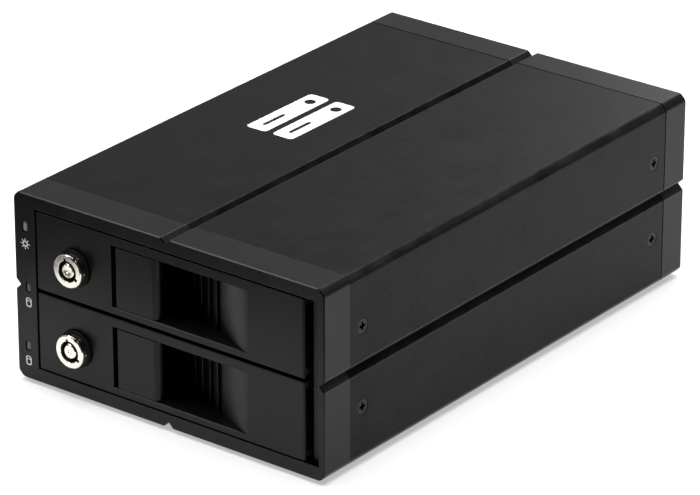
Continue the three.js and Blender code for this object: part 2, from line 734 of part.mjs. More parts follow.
BAYS.forEach((bay, i) => {
  const z = bayBottom(i);
  const top = z + DOOR.height;
  place(`tray_${bay}`, tray(z), matteBlack);
  place(`drive_case_${bay}`, driveCase(z), castAluminium);
  place(`drive_board_${bay}`, driveBoard(z), board);
  place(`hinge_pin_${bay}`, rodZ(HINGE.x, HINGE.y, HINGE.pin, z + 0.8, top - 0.8), blackSteel);
  place(`door_${bay}`, door(z), glossBlack);
  place(`paddle_${bay}`, paddle(z), glossBlack);
  place(
    `paddle_pin_${bay}`,
    rodZ(PADDLE_PIN.x, PADDLE_PIN.y, PADDLE_PIN.radius, z + POCKET.low - 1, z + POCKET.high + 1, 16),
    steel,
  );
  place(`paddle_spring_${bay}`, paddleSpring(z), steel);
  place(`lock_body_${bay}`, lockBody(z), nickel);
  place(`lock_nut_${bay}`, lockNut(z), steel);
  place(`lock_plug_${bay}`, lockPlug(z), nickel);
  place(`lock_cam_${bay}`, lockCam(z), steel);
});

export default group;
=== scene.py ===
import math

import bmesh
import bpy
from mathutils import Matrix, Vector


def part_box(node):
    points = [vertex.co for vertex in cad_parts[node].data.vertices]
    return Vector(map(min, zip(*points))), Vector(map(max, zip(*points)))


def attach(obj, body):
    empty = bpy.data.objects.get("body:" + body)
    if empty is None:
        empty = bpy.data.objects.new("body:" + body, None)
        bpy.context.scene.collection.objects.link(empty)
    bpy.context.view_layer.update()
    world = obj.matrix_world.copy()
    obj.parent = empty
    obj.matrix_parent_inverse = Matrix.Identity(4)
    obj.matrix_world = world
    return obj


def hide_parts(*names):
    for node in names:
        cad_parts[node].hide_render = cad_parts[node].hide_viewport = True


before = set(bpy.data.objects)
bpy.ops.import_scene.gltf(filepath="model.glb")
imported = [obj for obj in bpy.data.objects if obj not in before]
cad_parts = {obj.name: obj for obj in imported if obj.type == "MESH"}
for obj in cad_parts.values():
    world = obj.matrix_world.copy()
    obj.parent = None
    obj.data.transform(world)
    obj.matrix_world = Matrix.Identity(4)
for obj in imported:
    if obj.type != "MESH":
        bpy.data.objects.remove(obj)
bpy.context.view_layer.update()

MM = 0.001
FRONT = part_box("front_bezel")[0].y
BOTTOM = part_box("sleeve")[0].z
TO_FRAME = Matrix.Translation((0, FRONT, BOTTOM)) @ Matrix.Diagonal((MM, MM, MM, 1))
BAYS = ("lower", "upper")
SIDES = {"left": -1, "right": 1}


def extent(node):
    """Lowest corner, highest corner and middle of a CAD node, in case millimetres."""
    low, high = [Vector((p.x, p.y - FRONT, p.z - BOTTOM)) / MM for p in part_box(node)]
    return low, high, (low + high) / 2


def middle(node):
    return extent(node)[2]


# ---------------------------------------------------------------- outlines
def around(value, half):
    """The two ends of a stretch with this middle."""
    return value - half, value + half


def circle(x, y, radius, sides=48):
    turns = [2 * math.pi * i / sides for i in range(sides)]
    return [(x + radius * math.cos(t), y + radius * math.sin(t)) for t in turns]


def rectangle(x0, x1, y0, y1):
    return [(x0, y0), (x1, y0), (x1, y1), (x0, y1)]


def quarter_turn(steps=3):
    return [math.pi / 2 * k / steps for k in range(steps + 1)]


def rounded(corners, radius=0.0, steps=4):
    """The outline with an arc at each corner. A corner may carry its own radius as a third number."""
    outline = []
    for i, corner in enumerate(corners):
        p = Vector(corner[:2])
        r = corner[2] if len(corner) > 2 else radius
        u = (Vector(corners[i - 1][:2]) - p).normalized()
        v = (Vector(corners[(i + 1) % len(corners)][:2]) - p).normalized()
        between = math.acos(max(-1.0, min(1.0, u.dot(v))))
        if r <= 0 or between > math.pi - 1e-3:
            outline.append(tuple(p))
            continue
        centre = p + (u + v).normalized() * r / math.sin(between / 2)
        start = p + u * r / math.tan(between / 2) - centre
        sweep = math.pi - between
        if u.x * v.y - u.y * v.x > 0:
            sweep = -sweep
        for k in range(steps + 1):
            turn = sweep * k / steps
            c, s = math.cos(turn), math.sin(turn)
            outline.append((centre.x + start.x * c - start.y * s, centre.y + start.x * s + start.y * c))
    return outline


def counterclockwise(outline):
    pairs = zip(outline, outline[1:] + outline[:1])
    area = sum(a[0] * b[1] - b[0] * a[1] for a, b in pairs)
    return outline if area >= 0 else outline[::-1]


def inset(outline, distance):
    """A counterclockwise outline moved inwards, corner for corner."""
    shifted = []
    for i, corner in enumerate(outline):
        p = Vector(corner)
        along = (p - Vector(outline[i - 1])).normalized()
        onward = (Vector(outline[(i + 1) % len(outline)]) - p).normalized()
        a = Vector((-along.y, along.x))
        b = Vector((-onward.y, onward.x))
        shifted.append(tuple(p + (a + b) * distance / max(1 + a.dot(b), 0.2)))
    return shifted


# ---------------------------------------------------------------- solids
def bmesh_of(*meshes):
    bm = bmesh.new()
    for mesh in meshes:
        bm.from_mesh(mesh)
    return bm


def mesh_of(bm, name="solid"):
    mesh = bpy.data.meshes.new(name)
    bm.to_mesh(mesh)
    bm.free()
    return mesh


def placed(axis, point, position):
    """A point of a flat outline, put at a position along an axis. Outlines hold XZ, XY or YZ."""
    a, b = point
    return {"x": (position, a, b), "y": (a, position, b), "z": (a, b, position)}[axis]


def closed(points, faces):
    """A closed mesh: doubled points are merged, and the faces turned outwards."""
    mesh = bpy.data.meshes.new("solid")
    mesh.from_pydata(points, [], faces)
    bm = bmesh_of(mesh)
    bmesh.ops.remove_doubles(bm, verts=bm.verts, dist=1e-5)
    bmesh.ops.recalc_face_normals(bm, faces=bm.faces)
    return mesh_of(bm)


def skin(rows, count, endless=False):
    """Faces round the rows of count points, with a cap at both ends unless the rows are endless."""
    faces = []
    for row in range(rows if endless else rows - 1):
        a, b = row * count, (row + 1) % rows * count
        for i in range(count):
            j = (i + 1) % count
            faces.append((a + i, a + j, b + j, b + i))
    if not endless:
        faces += [tuple(range(count)), tuple(range((rows - 1) * count, rows * count))]
    return faces


def loft(axis, rings):
    """A closed solid through rings of (outline, position), all with the same number of corners."""
    points = [placed(axis, p, position) for outline, position in rings for p in outline]
    return closed(points, skin(len(rings), len(rings[0][0])))


def prism(axis, outline, start, end, edge=0.0):
    """An outline drawn out along an axis, with its end rims rounded by edge."""
    outline = counterclockwise(outline)
    if edge <= 0:
        return loft(axis, [(outline, start), (outline, end)])
    rim = [(inset(outline, edge * (1 - math.sin(t))), edge * (1 - math.cos(t))) for t in quarter_turn()]
    near = [(shape, start + depth) for shape, depth in rim]
    far = [(shape, end - depth) for shape, depth in reversed(rim)]
    return loft(axis, near + far)


def block(x0, x1, y0, y1, z0, z1, edge=0.0):
    """A box with all its edges rounded. The two X may come in any order."""
    outline = rectangle(min(x0, x1), max(x0, x1), z0, z1)
    return prism("y", rounded(outline, edge, 3) if edge > 0 else outline, y0, y1, edge)


def node_block(node, edge):
    low, high, _ = extent(node)
    return block(low.x, high.x, low.y, high.y, low.z, high.z, edge)


def cylinder(axis, x, y, radius, start, end, edge=0.0, sides=48):
    return prism(axis, circle(x, y, radius, sides), start, end, edge)


def turned(axis, centre, corners, edge=0.0, sides=48):
    """A turned solid: corners are (radius, distance along the axis), from the axis and back to it."""
    last = len(corners) - 1
    profile = rounded([(r, a, 0 if i in (0, last) else edge) for i, (r, a) in enumerate(corners)], steps=3)
    return loft(axis, [(circle(*centre, max(r, 1e-4), sides), a) for r, a in profile])


def ring(axis, centre, section, sides=64):
    """A solid ring: section is a closed outline of (radius, distance along the axis)."""
    cx, cy = centre
    points = []
    for i in range(sides):
        t = 2 * math.pi * i / sides
        for radius, along in section:
            points.append(placed(axis, (cx + radius * math.cos(t), cy + radius * math.sin(t)), along))
    return closed(points, skin(sides, len(section), endless=True))


def tube(path, radius, sides=10):
    """A solid wire along a list of points."""
    path = [Vector(p) for p in path]
    points = []
    side = None
    for i, p in enumerate(path):
        along = (path[min(i + 1, len(path) - 1)] - path[max(i - 1, 0)]).normalized()
        side = along.orthogonal() if side is None else side - along * side.dot(along)
        side.normalize()
        up = along.cross(side)
        for a, b in circle(0, 0, 1, sides):
            points.append(p + (side * a + up * b) * radius)
    return closed(points, skin(len(path), sides))


def rimmed_hole(outline, face, depth, rim, inward=1):
    """Cutter for a hole in a front face, or with inward -1 in a rear face, with its rim rounded."""
    outline = counterclockwise(outline)
    rings = [(inset(outline, -rim - 0.001), face - inward * 1)]
    for t in quarter_turn():
        rings.append((inset(outline, -rim * (1 - math.sin(t))), face + inward * rim * (1 - math.cos(t))))
    rings.append((outline, face + inward * depth))
    return loft("y", rings)


def split_through(mesh, others):
    """The mesh with edges through the middle of each other solid, so that no flat gets a hole inside it."""
    bm = bmesh_of(mesh)
    for other in others:
        corners = [v.co for v in other.vertices]
        centre = [(min(c[i] for c in corners) + max(c[i] for c in corners)) / 2 for i in range(3)]
        for normal in ((1, 0, 0), (0, 0, 1)):
            geom = bm.verts[:] + bm.edges[:] + bm.faces[:]
            bmesh.ops.bisect_plane(bm, geom=geom, dist=1e-4, plane_co=centre, plane_no=normal)
    return mesh_of(bm)


def evaluated(o):
    return bpy.data.meshes.new_from_object(o.evaluated_get(bpy.context.evaluated_depsgraph_get()))


def in_scene(name, data):
    o = bpy.data.objects.new(name, data)
    bpy.context.scene.collection.objects.link(o)
    return o


def boolean(operation, base, tools):
    body = in_scene("boolean_body", split_through(base, tools))
    helpers = [in_scene("boolean_tool", tool) for tool in tools]
    for helper in helpers:
        modifier = body.modifiers.new("boolean", "BOOLEAN")
        modifier.operation = operation
        modifier.object = helper
        modifier.solver = "MANIFOLD"
    made = evaluated(body)
    for o in [body, *helpers]:
        bpy.data.objects.remove(o)
    return made


def cut(base, *tools):
    return boolean("DIFFERENCE", base, tools)


def join(base, *others):
    return boolean("UNION", base, others)


def gather(meshes):
    """Several separate solids as one mesh."""
    return mesh_of(bmesh_of(*meshes))


def moved(mesh, matrix):
    copy = mesh.copy()
    copy.transform(matrix)
    return copy


def spun(mesh, centre, degrees):
    """A solid drawn along +X, turned towards +Z by an angle and set on the axis through centre."""
    turn = Matrix.Rotation(-math.radians(degrees), 4, "Y")
    return moved(mesh, Matrix.Translation((centre.x, 0, centre.z)) @ turn)


def cad_mesh(node, edge):
    """A node's own shape in case millimetres, with clean flats and its edges rounded by edge."""
    bm = bmesh_of(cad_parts[node].data)
    bmesh.ops.remove_doubles(bm, verts=bm.verts, dist=1e-6)
    bmesh.ops.transform(bm, matrix=TO_FRAME.inverted(), verts=bm.verts)
    bmesh.ops.dissolve_limit(bm, angle_limit=math.radians(0.5), verts=bm.verts, edges=bm.edges)
    steepest = math.radians(35)
    sharp = [e for e in bm.edges if e.is_manifold and e.calc_face_angle(0) > steepest]
    bmesh.ops.bevel(
        bm, geom=sharp, offset=edge, segments=2, profile=0.5, affect="EDGES", clamp_overlap=True
    )
    return mesh_of(bm)


# ---------------------------------------------------------------- pieces
def piece(name, mesh, body, material, replaces=None, smooth=32, origin=(0, 0, 0)):
    """Puts a solid into the scene as a piece that rides on a body and may stand for a CAD node."""
    bm = with_whole_flats(mesh)
    bmesh.ops.translate(bm, vec=-Vector(origin), verts=bm.verts)
    bmesh.ops.scale(bm, vec=(MM, MM, MM), verts=bm.verts)
    made = mesh_of(bm, name)
    made.shade_smooth()
    made.set_sharp_from_angle(angle=math.radians(smooth))
    made.materials.clear()
    made.materials.append(material)
    o = in_scene(name, made)
    o.location = TO_FRAME @ Vector(origin)
    weigh_normals(o)
    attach(o, body)
    if replaces:
        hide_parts(replaces)
    return o


def trim(o, material, belongs):
    """Gives some polygons their own finish: those that belongs says yes to, by their normal and centre."""
    o.data.materials.append(material)
    index = len(o.data.materials) - 1
    for polygon in o.data.polygons:
        if belongs(polygon.normal, polygon.center / MM):
            polygon.material_index = index


def drawn_area(bm):
    """Area of the triangles that the faces are drawn with."""
    corners = [[loop.vert.co for loop in triangle] for triangle in bm.calc_loop_triangles()]
    return sum((b - a).cross(c - a).length / 2 for a, b, c in corners)


def with_whole_flats(mesh):
    """A bmesh of the mesh, with each flat as few faces as possible, or as it was if that would spoil it."""
    as_it_was = bmesh_of(mesh)
    whole = as_it_was.copy()
    bmesh.ops.dissolve_limit(whole, angle_limit=math.radians(0.4), verts=whole.verts, edges=whole.edges)
    area = drawn_area(as_it_was)
    kept, spare = whole, as_it_was
    if not all(e.is_manifold for e in whole.edges) or abs(drawn_area(whole) - area) >= 1e-3 * area:
        kept, spare = spare, kept
    spare.free()
    return kept


def weigh_normals(o):
    """Keeps flats flat beside rounded edges."""
    modifier = o.modifiers.new("weighted", "WEIGHTED_NORMAL")
    modifier.keep_sharp = True
    modifier.weight = 60
    made = evaluated(o)
    made.name = o.name
    o.modifiers.clear()
    o.data = made


# ---------------------------------------------------------------- materials
class Nodes:
    """Adds nodes to a node tree and links them."""

    def __init__(self, owner):
        owner.use_nodes = True
        self.tree = owner.node_tree

    def set(self, node, inputs):
        for key, value in inputs.items():
            if isinstance(value, bpy.types.NodeSocket):
                self.tree.links.new(value, node.inputs[key])
            else:
                node.inputs[key].default_value = value

    def add(self, kind, inputs, output, **settings):
        node = self.tree.nodes.new("ShaderNode" + kind)
        for key, value in settings.items():
            setattr(node, key, value)
        self.set(node, inputs)
        return node.outputs[output]

    def noise(self, scale, detail, stretch=(1, 1, 1)):
        """Noise in the piece's own place; scale is in cycles a metre, stretch is for each axis."""
        place = self.add("TexCoord", {}, "Object")
        spot = self.add("Mapping", {"Vector": place, "Scale": stretch}, "Vector")
        return self.add("TexNoise", {"Vector": spot, "Scale": scale, "Detail": detail}, "Fac")

    def spread(self, value, low, high, narrow=(0.3, 0.7)):
        """A noise value turned into the range from low to high."""
        ends = {"From Min": narrow[0], "From Max": narrow[1], "To Min": low, "To Max": high}
        return self.add("MapRange", {"Value": value, **ends}, "Result")

    def sum(self, a, b):
        return self.add("Math", {0: a, 1: b}, "Value", operation="ADD")


def finish(name, color, roughness, metallic, variation, patch, rough_spread, grain, depth,
           stretch=(1, 1, 1), specular=0.5, fleck=0.0):
    """A procedural finish. variation and patch: how much the colour varies, and in how many patches a metre.
    grain, stretch and depth: surface grain in cycles a metre, its stretch, and its height in millimetres."""
    material = bpy.data.materials.new(name)
    n = Nodes(material)
    cloud = n.noise(patch, 4.0)
    fine = n.noise(grain, 2.0, stretch)
    dark = [c * (1 - variation) for c in color]
    light = [min(1.0, c * (1 + variation) + fleck) for c in color]
    shade = n.sum(n.spread(cloud, 0, 0.6), n.spread(fine, 0, 0.4))
    wear = n.sum(n.spread(fine, 0, 0.5), n.spread(cloud, 0, 0.5))
    bump = {"Height": fine, "Distance": depth * MM, "Strength": 1.0}
    ends = {"Factor": shade, "A": (*dark, 1), "B": (*light, 1)}
    n.set(n.tree.nodes["Principled BSDF"], {
        "Base Color": n.add("Mix", ends, "Result", data_type="RGBA"),
        "Roughness": n.spread(wear, roughness - rough_spread, roughness + rough_spread, (0, 1)),
        "Normal": n.add("Bump", bump, "Normal"),
        "Metallic": metallic,
        "Specular IOR Level": specular,
    })
    return material


BRUSHED = (1, 0.35, 1)  # brushed along the length of the case

ANODISED = finish("anodised_brushed", (0.0042, 0.0042, 0.0045), 0.4, 1, 0.9, 70, 0.08, 450, 0.07, BRUSHED,
                  fleck=0.004)
# Painted light: a lighter copy of the anodised finish for the chamfers, to make up for the dim light they
# mirror.
CHAMFER = finish("anodised_chamfer_painted_light", (0.024, 0.024, 0.0245), 0.38, 1, 0.4, 70, 0.08, 450, 0.05, BRUSHED)
# Painted highlight: a lighter copy of the anodised finish for the groove lips, so that they read as bright
# lines.
ANODISED_LIP_HIGHLIGHT = finish("anodised_lip_painted_highlight", (0.03, 0.03, 0.031), 0.3, 1, 0.3, 300, 0.06, 900, 0.02, BRUSHED)
BEZEL = finish("bezel_satin", (0.024, 0.024, 0.0245), 0.36, 1, 0.2, 90, 0.05, 1200, 0.012)
# Painted highlight: a lighter copy of the bezel finish for the groove lips, so that they read as bright
# lines.
BEZEL_LIP_HIGHLIGHT = finish("bezel_lip_painted_highlight", (0.05, 0.05, 0.051), 0.3, 1, 0.2, 300, 0.05, 1200, 0.012)
BEZEL_EDGE = finish("bezel_cut_edge", (0.02, 0.02, 0.0205), 0.3, 1, 0.2, 300, 0.05, 1200, 0.006)
DOOR = finish("door_satin", (0.003, 0.003, 0.0031), 0.36, 0, 0.2, 70, 0.06, 900, 0.008, specular=0.22)
TRAY = finish("tray_moulded", (0.01, 0.01, 0.0105), 0.5, 0, 0.15, 90, 0.06, 3500, 0.02, specular=0.4)
SOCKET = finish("socket_moulded", (0.014, 0.014, 0.015), 0.42, 0, 0.15, 90, 0.06, 3000, 0.01)
NICKEL = finish("nickel_plated", (0.78, 0.74, 0.66), 0.16, 1, 0.06, 300, 0.05, 2500, 0.003)
STEEL = finish("zinc_steel", (0.5, 0.51, 0.52), 0.36, 1, 0.12, 160, 0.08, 1200, 0.006)
CASE_SCREW = finish("screw_blackened", (0.022, 0.022, 0.0225), 0.3, 1, 0.2, 500, 0.06, 2500, 0.006)
SCREW = finish("screw_steel", (0.42, 0.42, 0.43), 0.3, 1, 0.12, 400, 0.06, 2500, 0.004)
BLACK_STEEL = finish("black_steel", (0.016, 0.016, 0.017), 0.45, 0.3, 0.18, 120, 0.07, 3200, 0.02)
CAST = finish("cast_aluminium", (0.36, 0.37, 0.38), 0.45, 1, 0.1, 120, 0.07, 2600, 0.015)
LID = finish("drive_lid", (0.55, 0.56, 0.57), 0.34, 1, 0.06, 80, 0.05, 2200, 0.004, BRUSHED)
BOARD = finish("solder_mask", (0.008, 0.05, 0.022), 0.35, 0, 0.25, 260, 0.06, 1500, 0.012)
CHIP = finish("chip_epoxy", (0.012, 0.012, 0.013), 0.55, 0, 0.2, 500, 0.06, 5000, 0.01)
GOLD = finish("gold_contacts", (0.75, 0.52, 0.2), 0.25, 1, 0.08, 500, 0.05, 3000, 0.002)
WASHER = finish("lock_washer", (0.004, 0.004, 0.004), 0.6, 0, 0.2, 500, 0.06, 4000, 0.01, specular=0.12)
RUBBER = finish("foot_rubber", (0.014, 0.014, 0.014), 0.8, 0, 0.2, 200, 0.08, 4000, 0.03, specular=0.3)
LENS = finish("light_lens", (0.3, 0.31, 0.32), 0.3, 0, 0.15, 900, 0.08, 4000, 0.01)
LENS_OFF = finish("light_lens_dark", (0.06, 0.06, 0.063), 0.3, 0, 0.2, 900, 0.08, 4000, 0.01)
LENS_GREEN = finish("lens_green", (0.03, 0.16, 0.05), 0.3, 0, 0.2, 900, 0.08, 4000, 0.01)
LENS_AMBER = finish("lens_amber", (0.3, 0.13, 0.02), 0.3, 0, 0.2, 900, 0.08, 4000, 0.01)
PRINT = finish("white_print", (0.72, 0.72, 0.72), 0.6, 0, 0.06, 900, 0.05, 5000, 0.004)
LABEL = finish("drive_label", (0.75, 0.75, 0.74), 0.5, 0, 0.04, 60, 0.05, 3000, 0.004)
FAN_PLASTIC = finish("fan_plastic", (0.012, 0.012, 0.012), 0.38, 0, 0.15, 150, 0.06, 2500, 0.008)
USB_BLUE = finish("usb_tongue", (0.02, 0.09, 0.42), 0.4, 0, 0.1, 400, 0.05, 3000, 0.005)


# ---------------------------------------------------------------- case
CASE = {"width": 134.0, "height": 70.0, "depth": 210.0, "chamfer": 2.2, "groove": 2.0, "wall": 1.8}
HALF_X = CASE["width"] / 2
MID_Z = CASE["height"] / 2
LIP = 0.9  # edge radius of the groove lips
CHAMFER_EDGE = 2.3  # edge radius on both sides of each chamfer
SEAM = 0.05  # edge radius along the joint between sleeve and front bezel, and the gap in it
REAR_SEAM = {"width": 0.45, "depth": 0.8}  # shadow gap between sleeve and rear bezel
CUT_EDGE = 0.35  # cut chamfer round the bezels' outer faces
TIGHTEST = 0.04  # smallest edge radius of an inner section


def case_section(depth=0.0):
    """Section of the case, inwards by depth: chamfered corners, and a V groove in the middle of each side."""
    x, z = HALF_X - depth, MID_Z - depth
    c = CASE["chamfer"] - depth * (2 - math.sqrt(2))
    g = CASE["groove"] + depth * (math.sqrt(2) - 1)
    apex = CASE["groove"] + depth * math.sqrt(2)
    lip = max(LIP - depth, TIGHTEST)
    bend = max(CHAMFER_EDGE - depth, TIGHTEST)
    root = 0.15 + depth
    quarter = [(g, z, lip), (x - c, z, bend), (x, z - c, bend), (x, g, lip)]
    corners = [(0, MID_Z - apex, root), *quarter, (HALF_X - apex, 0, root)]
    corners += [(a, -b, r) for a, b, r in reversed(quarter)]
    corners += [(0, apex - MID_Z, root)]
    corners += [(-a, -b, r) for a, b, r in quarter]
    corners += [(apex - HALF_X, 0, root)]
    corners += [(-a, b, r) for a, b, r in reversed(quarter)]
    return rounded([(a, b + MID_Z, r) for a, b, r in reversed(corners)])


def screw_places():
    """Node, side, Y and Z of each case screw."""
    places = []
    for end in ("front", "rear"):
        for side, sign in SIDES.items():
            for level in ("low", "high"):
                node = f"case_screw_{end}_{side}_{level}"
                places.append((node, sign, *middle(node).yz))
    return places


def countersink(sign, y, z):
    """Cutter for a countersunk hole in a side wall."""
    radius, neck, depth, reach = 2.95, 1.55, 1.55, 4
    corners = [(0, HALF_X + 1), (radius, HALF_X + 1), (radius, HALF_X - 0.02)]
    corners += [(neck, HALF_X - depth), (neck, HALF_X - reach), (0, HALF_X - reach)]
    return turned("x", (y, z), [(r, a * sign) for r, a in corners], sides=40)


def make_sleeve():
    low, high, _ = extent("sleeve")
    inside = prism("y", case_section(CASE["wall"]), low.y - 1, high.y + 1)
    shell = cut(prism("y", case_section(), low.y, high.y, SEAM), inside)
    shell = cut(shell, *[countersink(sign, y, z) for _, sign, y, z in screw_places()])
    sleeve = piece("case_sleeve", shell, "case", ANODISED, "sleeve")
    # The groove lips get the lighter copy: a painted highlight.
    trim(sleeve, ANODISED_LIP_HIGHLIGHT, groove_lip)
    # The chamfers get the lighter copy: painted light.
    trim(sleeve, CHAMFER, chamfer)


# The front bezel's opening. Its first 3 mm are a recess that reaches further right, for the doors' ends.
OPENING = {"left": -57.7, "right": 60.3, "recess": 64.5, "low": 5.0, "high": 65.1, "recess_depth": 3.0}
RIM = 0.25  # edge radius of the openings in the bezels


def light_outline(x, z, half_x, half_z):
    return rounded(rectangle(*around(x, half_x), *around(z, half_z)), half_x - 0.01, 8)


def face_rings(face, inner):
    """Rings of the case section from a chamfered outer face towards the inner end."""
    direction = 1 if inner > face else -1
    rings = [(case_section(CUT_EDGE), face), (case_section(), face + direction * CUT_EDGE)]
    rings.append((case_section(), inner - direction * SEAM))
    return rings


def cut_edge(normal, centre):
    """Whether a bezel's polygon is part of the chamfer round its outer face."""
    outer = abs(centre.x) > HALF_X - 1.5 or abs(centre.z - MID_Z) > MID_Z - 2
    return outer and 0.3 < abs(normal.y) < 0.95


def chamfer(normal, centre):
    """Whether a polygon is part of a chamfer along the case."""
    return min(abs(normal.x), abs(normal.z)) > 0.3 and min(abs(centre.x), abs(centre.z - MID_Z)) > 20


def groove_lip(normal, centre):
    """Whether a polygon lies on the rounded lip of a groove."""
    slant = min(abs(normal.x), abs(normal.z))
    near = min(abs(centre.x), abs(centre.z - MID_Z))
    return 0.08 < slant < 0.68 and abs(normal.y) < 0.05 and 1.5 < near < 3.2


def bezel_tabs(end, start, stop):
    """The tabs that a bezel reaches into the sleeve with, one behind each case screw."""
    inner, outer, half, bore = 61.5, 64.9, 4.5, 1.5
    tabs = []
    for node, sign, y, z in screw_places():
        if f"_{end}_" in node:
            a, b = sign * (inner - 1.5), sign * (outer + 1.1)
            hole = turned("x", (y, z), [(0, a), (bore, a), (bore, b), (0, b)])
            tabs.append(cut(block(sign * inner, sign * outer, start, stop, *around(z, half), 0.3), hole))
    return tabs


def make_bezel(end, body):
    bezel = piece(f"{end}_bezel_detailed", body, "case", BEZEL, f"{end}_bezel")
    trim(bezel, BEZEL_EDGE, cut_edge)
    # The groove lips get the lighter copy: a painted highlight.
    trim(bezel, BEZEL_LIP_HIGHLIGHT, groove_lip)


def make_front_bezel():
    seam = extent("sleeve")[0].y
    o = OPENING
    body = loft("y", [*face_rings(0, seam - SEAM), (case_section(SEAM), seam - SEAM)])
    main = rounded(rectangle(o["left"], o["recess"], o["low"], o["high"]), 0.3, 3)
    holes = [
        rimmed_hole(main, 0, o["recess_depth"], RIM),
        block(o["left"], o["right"], 0.5, seam + 2, o["low"], o["high"], 0.3),
    ]
    for light in LIGHTS:
        c = middle(f"light_pipe_{light}")
        holes.append(rimmed_hole(light_outline(c.x, c.z, 1.12, 2.02), 0, seam + 2, 0.12))
    tabs = bezel_tabs("front", seam - 1, extent("front_bezel")[1].y)
    make_bezel("front", join(cut(body, *holes), *tabs))


def make_rear_bezel():
    low, high, _ = extent("rear_bezel")
    panel_low, panel_high, _ = extent("rear_panel")
    seam = extent("sleeve")[1].y
    lip, play = 2.0, 0.3
    gap, depth = REAR_SEAM["width"], REAR_SEAM["depth"]
    rings = face_rings(high.y, seam + gap)
    rings += [(case_section(depth), seam + gap - 0.01), (case_section(depth), seam + 0.05)]
    window = rectangle(panel_low.x + lip, panel_high.x - lip, panel_low.z + lip, panel_high.z - lip)
    seat = block(panel_low.x - play, panel_high.x + play, seam - 2, panel_high.y + 0.1,
                 panel_low.z - play, panel_high.z + play)
    opening = rimmed_hole(rounded(window, 1.2, 5), high.y, high.y - seam, RIM, -1)
    body = cut(loft("y", rings), seat, opening)
    make_bezel("rear", join(body, *bezel_tabs("rear", low.y, seam + 1)))


def make_case_screws():
    """Countersunk screws with a tapered cross recess."""
    head, rim, shank, neck, length = 2.75, 0.25, 1.4, 1.5, 5.2
    face = HALF_X - 0.1
    taper = ((1.0, face + 0.5), (0.55, face - 1.3))
    for node, sign, y, z in screw_places():
        corners = [(0, face), (head, face), (head, face - rim), (shank, face - neck)]
        corners += [(shank, face - length), (0, face - length)]
        body = turned("x", (y, z), [(r, a * sign) for r, a in corners], 0.08, 40)
        recess = []
        for along, across in ((1.85, 0.6), (0.6, 1.85)):
            rings = [(rectangle(*around(y, along * k), *around(z, across * k)), sign * x) for k, x in taper]
            recess.append(loft("x", rings))
        piece(node + "_cross", cut(body, *recess), "case", CASE_SCREW, node)


def make_feet():
    hollow = 0.35
    for end in ("front", "rear"):
        for side in SIDES:
            node = f"foot_{end}_{side}"
            low, high, c = extent(node)
            r = high.x - c.x
            corners = [(0, high.z), (r - 0.3, high.z), (r, high.z - 0.3), (r - 0.35, low.z), (r - 1.6, low.z)]
            corners += [(r - 1.9, low.z + hollow), (0, low.z + hollow)]
            piece(f"{node}_pad", turned("z", (c.x, c.y), corners, 0.12), "case", RUBBER, node)


LIGHTS = {"power": LENS, "upper": LENS_OFF, "lower": LENS_OFF}


def make_lights():
    """Frosted light pipes with a slightly crowned lens."""
    crown = ((0.55, 0.25), (0.3, 0.3), (0.08, 0.42), (0.0, 0.6))
    for light, material in LIGHTS.items():
        node = f"light_pipe_{light}"
        low, high, c = extent(node)
        outline = light_outline(c.x, c.z, high.x - c.x, high.z - c.z)
        rings = [(inset(outline, narrower), low.y + back) for narrower, back in crown]
        piece(f"lens_{light}", loft("y", [*rings, (outline, high.y)]), "case", material, node)


# ---------------------------------------------------------------- printed marks
PRINT_HEIGHT = 0.015


def printed(outline, *blanks, axis="y", face=0.0, sunk=PRINT_HEIGHT, raised=PRINT_HEIGHT):
    """A flat print on a face: an outline with blank places in it."""
    body = prism(axis, outline, face - sunk, face + raised)
    return cut(body, *[prism(axis, blank, face - 1, face + 1) for blank in blanks])


def pill(x, y, half_x, half_y, radius):
    return rounded(rectangle(*around(x, half_x), *around(y, half_y)), radius, 6)


def lamp_mark(x, z):
    """A lamp with rays."""
    inner, outer, half = 1.35, 1.85, 0.18
    parts = [printed(circle(x, z, 1.15, 32), circle(x, z, 0.62, 32))]
    for i in range(8):
        t = math.pi / 4 * i
        along, across = Vector((math.cos(t), math.sin(t))), Vector((-math.sin(t), math.cos(t))) * half
        a, b = Vector((x, z)) + along * (inner - half), Vector((x, z)) + along * (outer + half)
        parts.append(printed([tuple(p) for p in (a - across, b - across, b + across, a + across)]))
    return gather(parts)


def drive_mark(x, z):
    """A drive with its disc and its lid."""
    return printed(
        pill(x, z, 1.25, 1.75, 0.9), pill(x, z - 0.425, 0.8, 0.875, 0.55), pill(x, z + 1.05, 0.8, 0.3, 0.28)
    )


def make_front_marks():
    """White marks beside the lights: a lamp for the power, and a drive for each bay."""
    for light in LIGHTS:
        c = middle(f"light_pipe_{light}")
        mark, drop = (lamp_mark, 6.4) if light == "power" else (drive_mark, 5.6)
        piece(f"mark_{light}", mark(c.x + 0.1, c.z - drop), "case", PRINT)


def make_top_mark():
    """A plain pictogram of two stacked drives, printed on the left half of the top."""
    cx, cy, apart = -29.0, 110.0, 5.8
    parts = []
    for x in (cx - apart, cx + apart):
        window, spot = pill(x, cy - 8, 0.8, 6, 0.7), circle(x, cy + 12.5, 2.1, 32)
        parts.append(printed(pill(x, cy, 4.4, 18.5, 1.6), window, spot, axis="z", face=CASE["height"]))
    piece("mark_top", gather(parts), "case", PRINT)


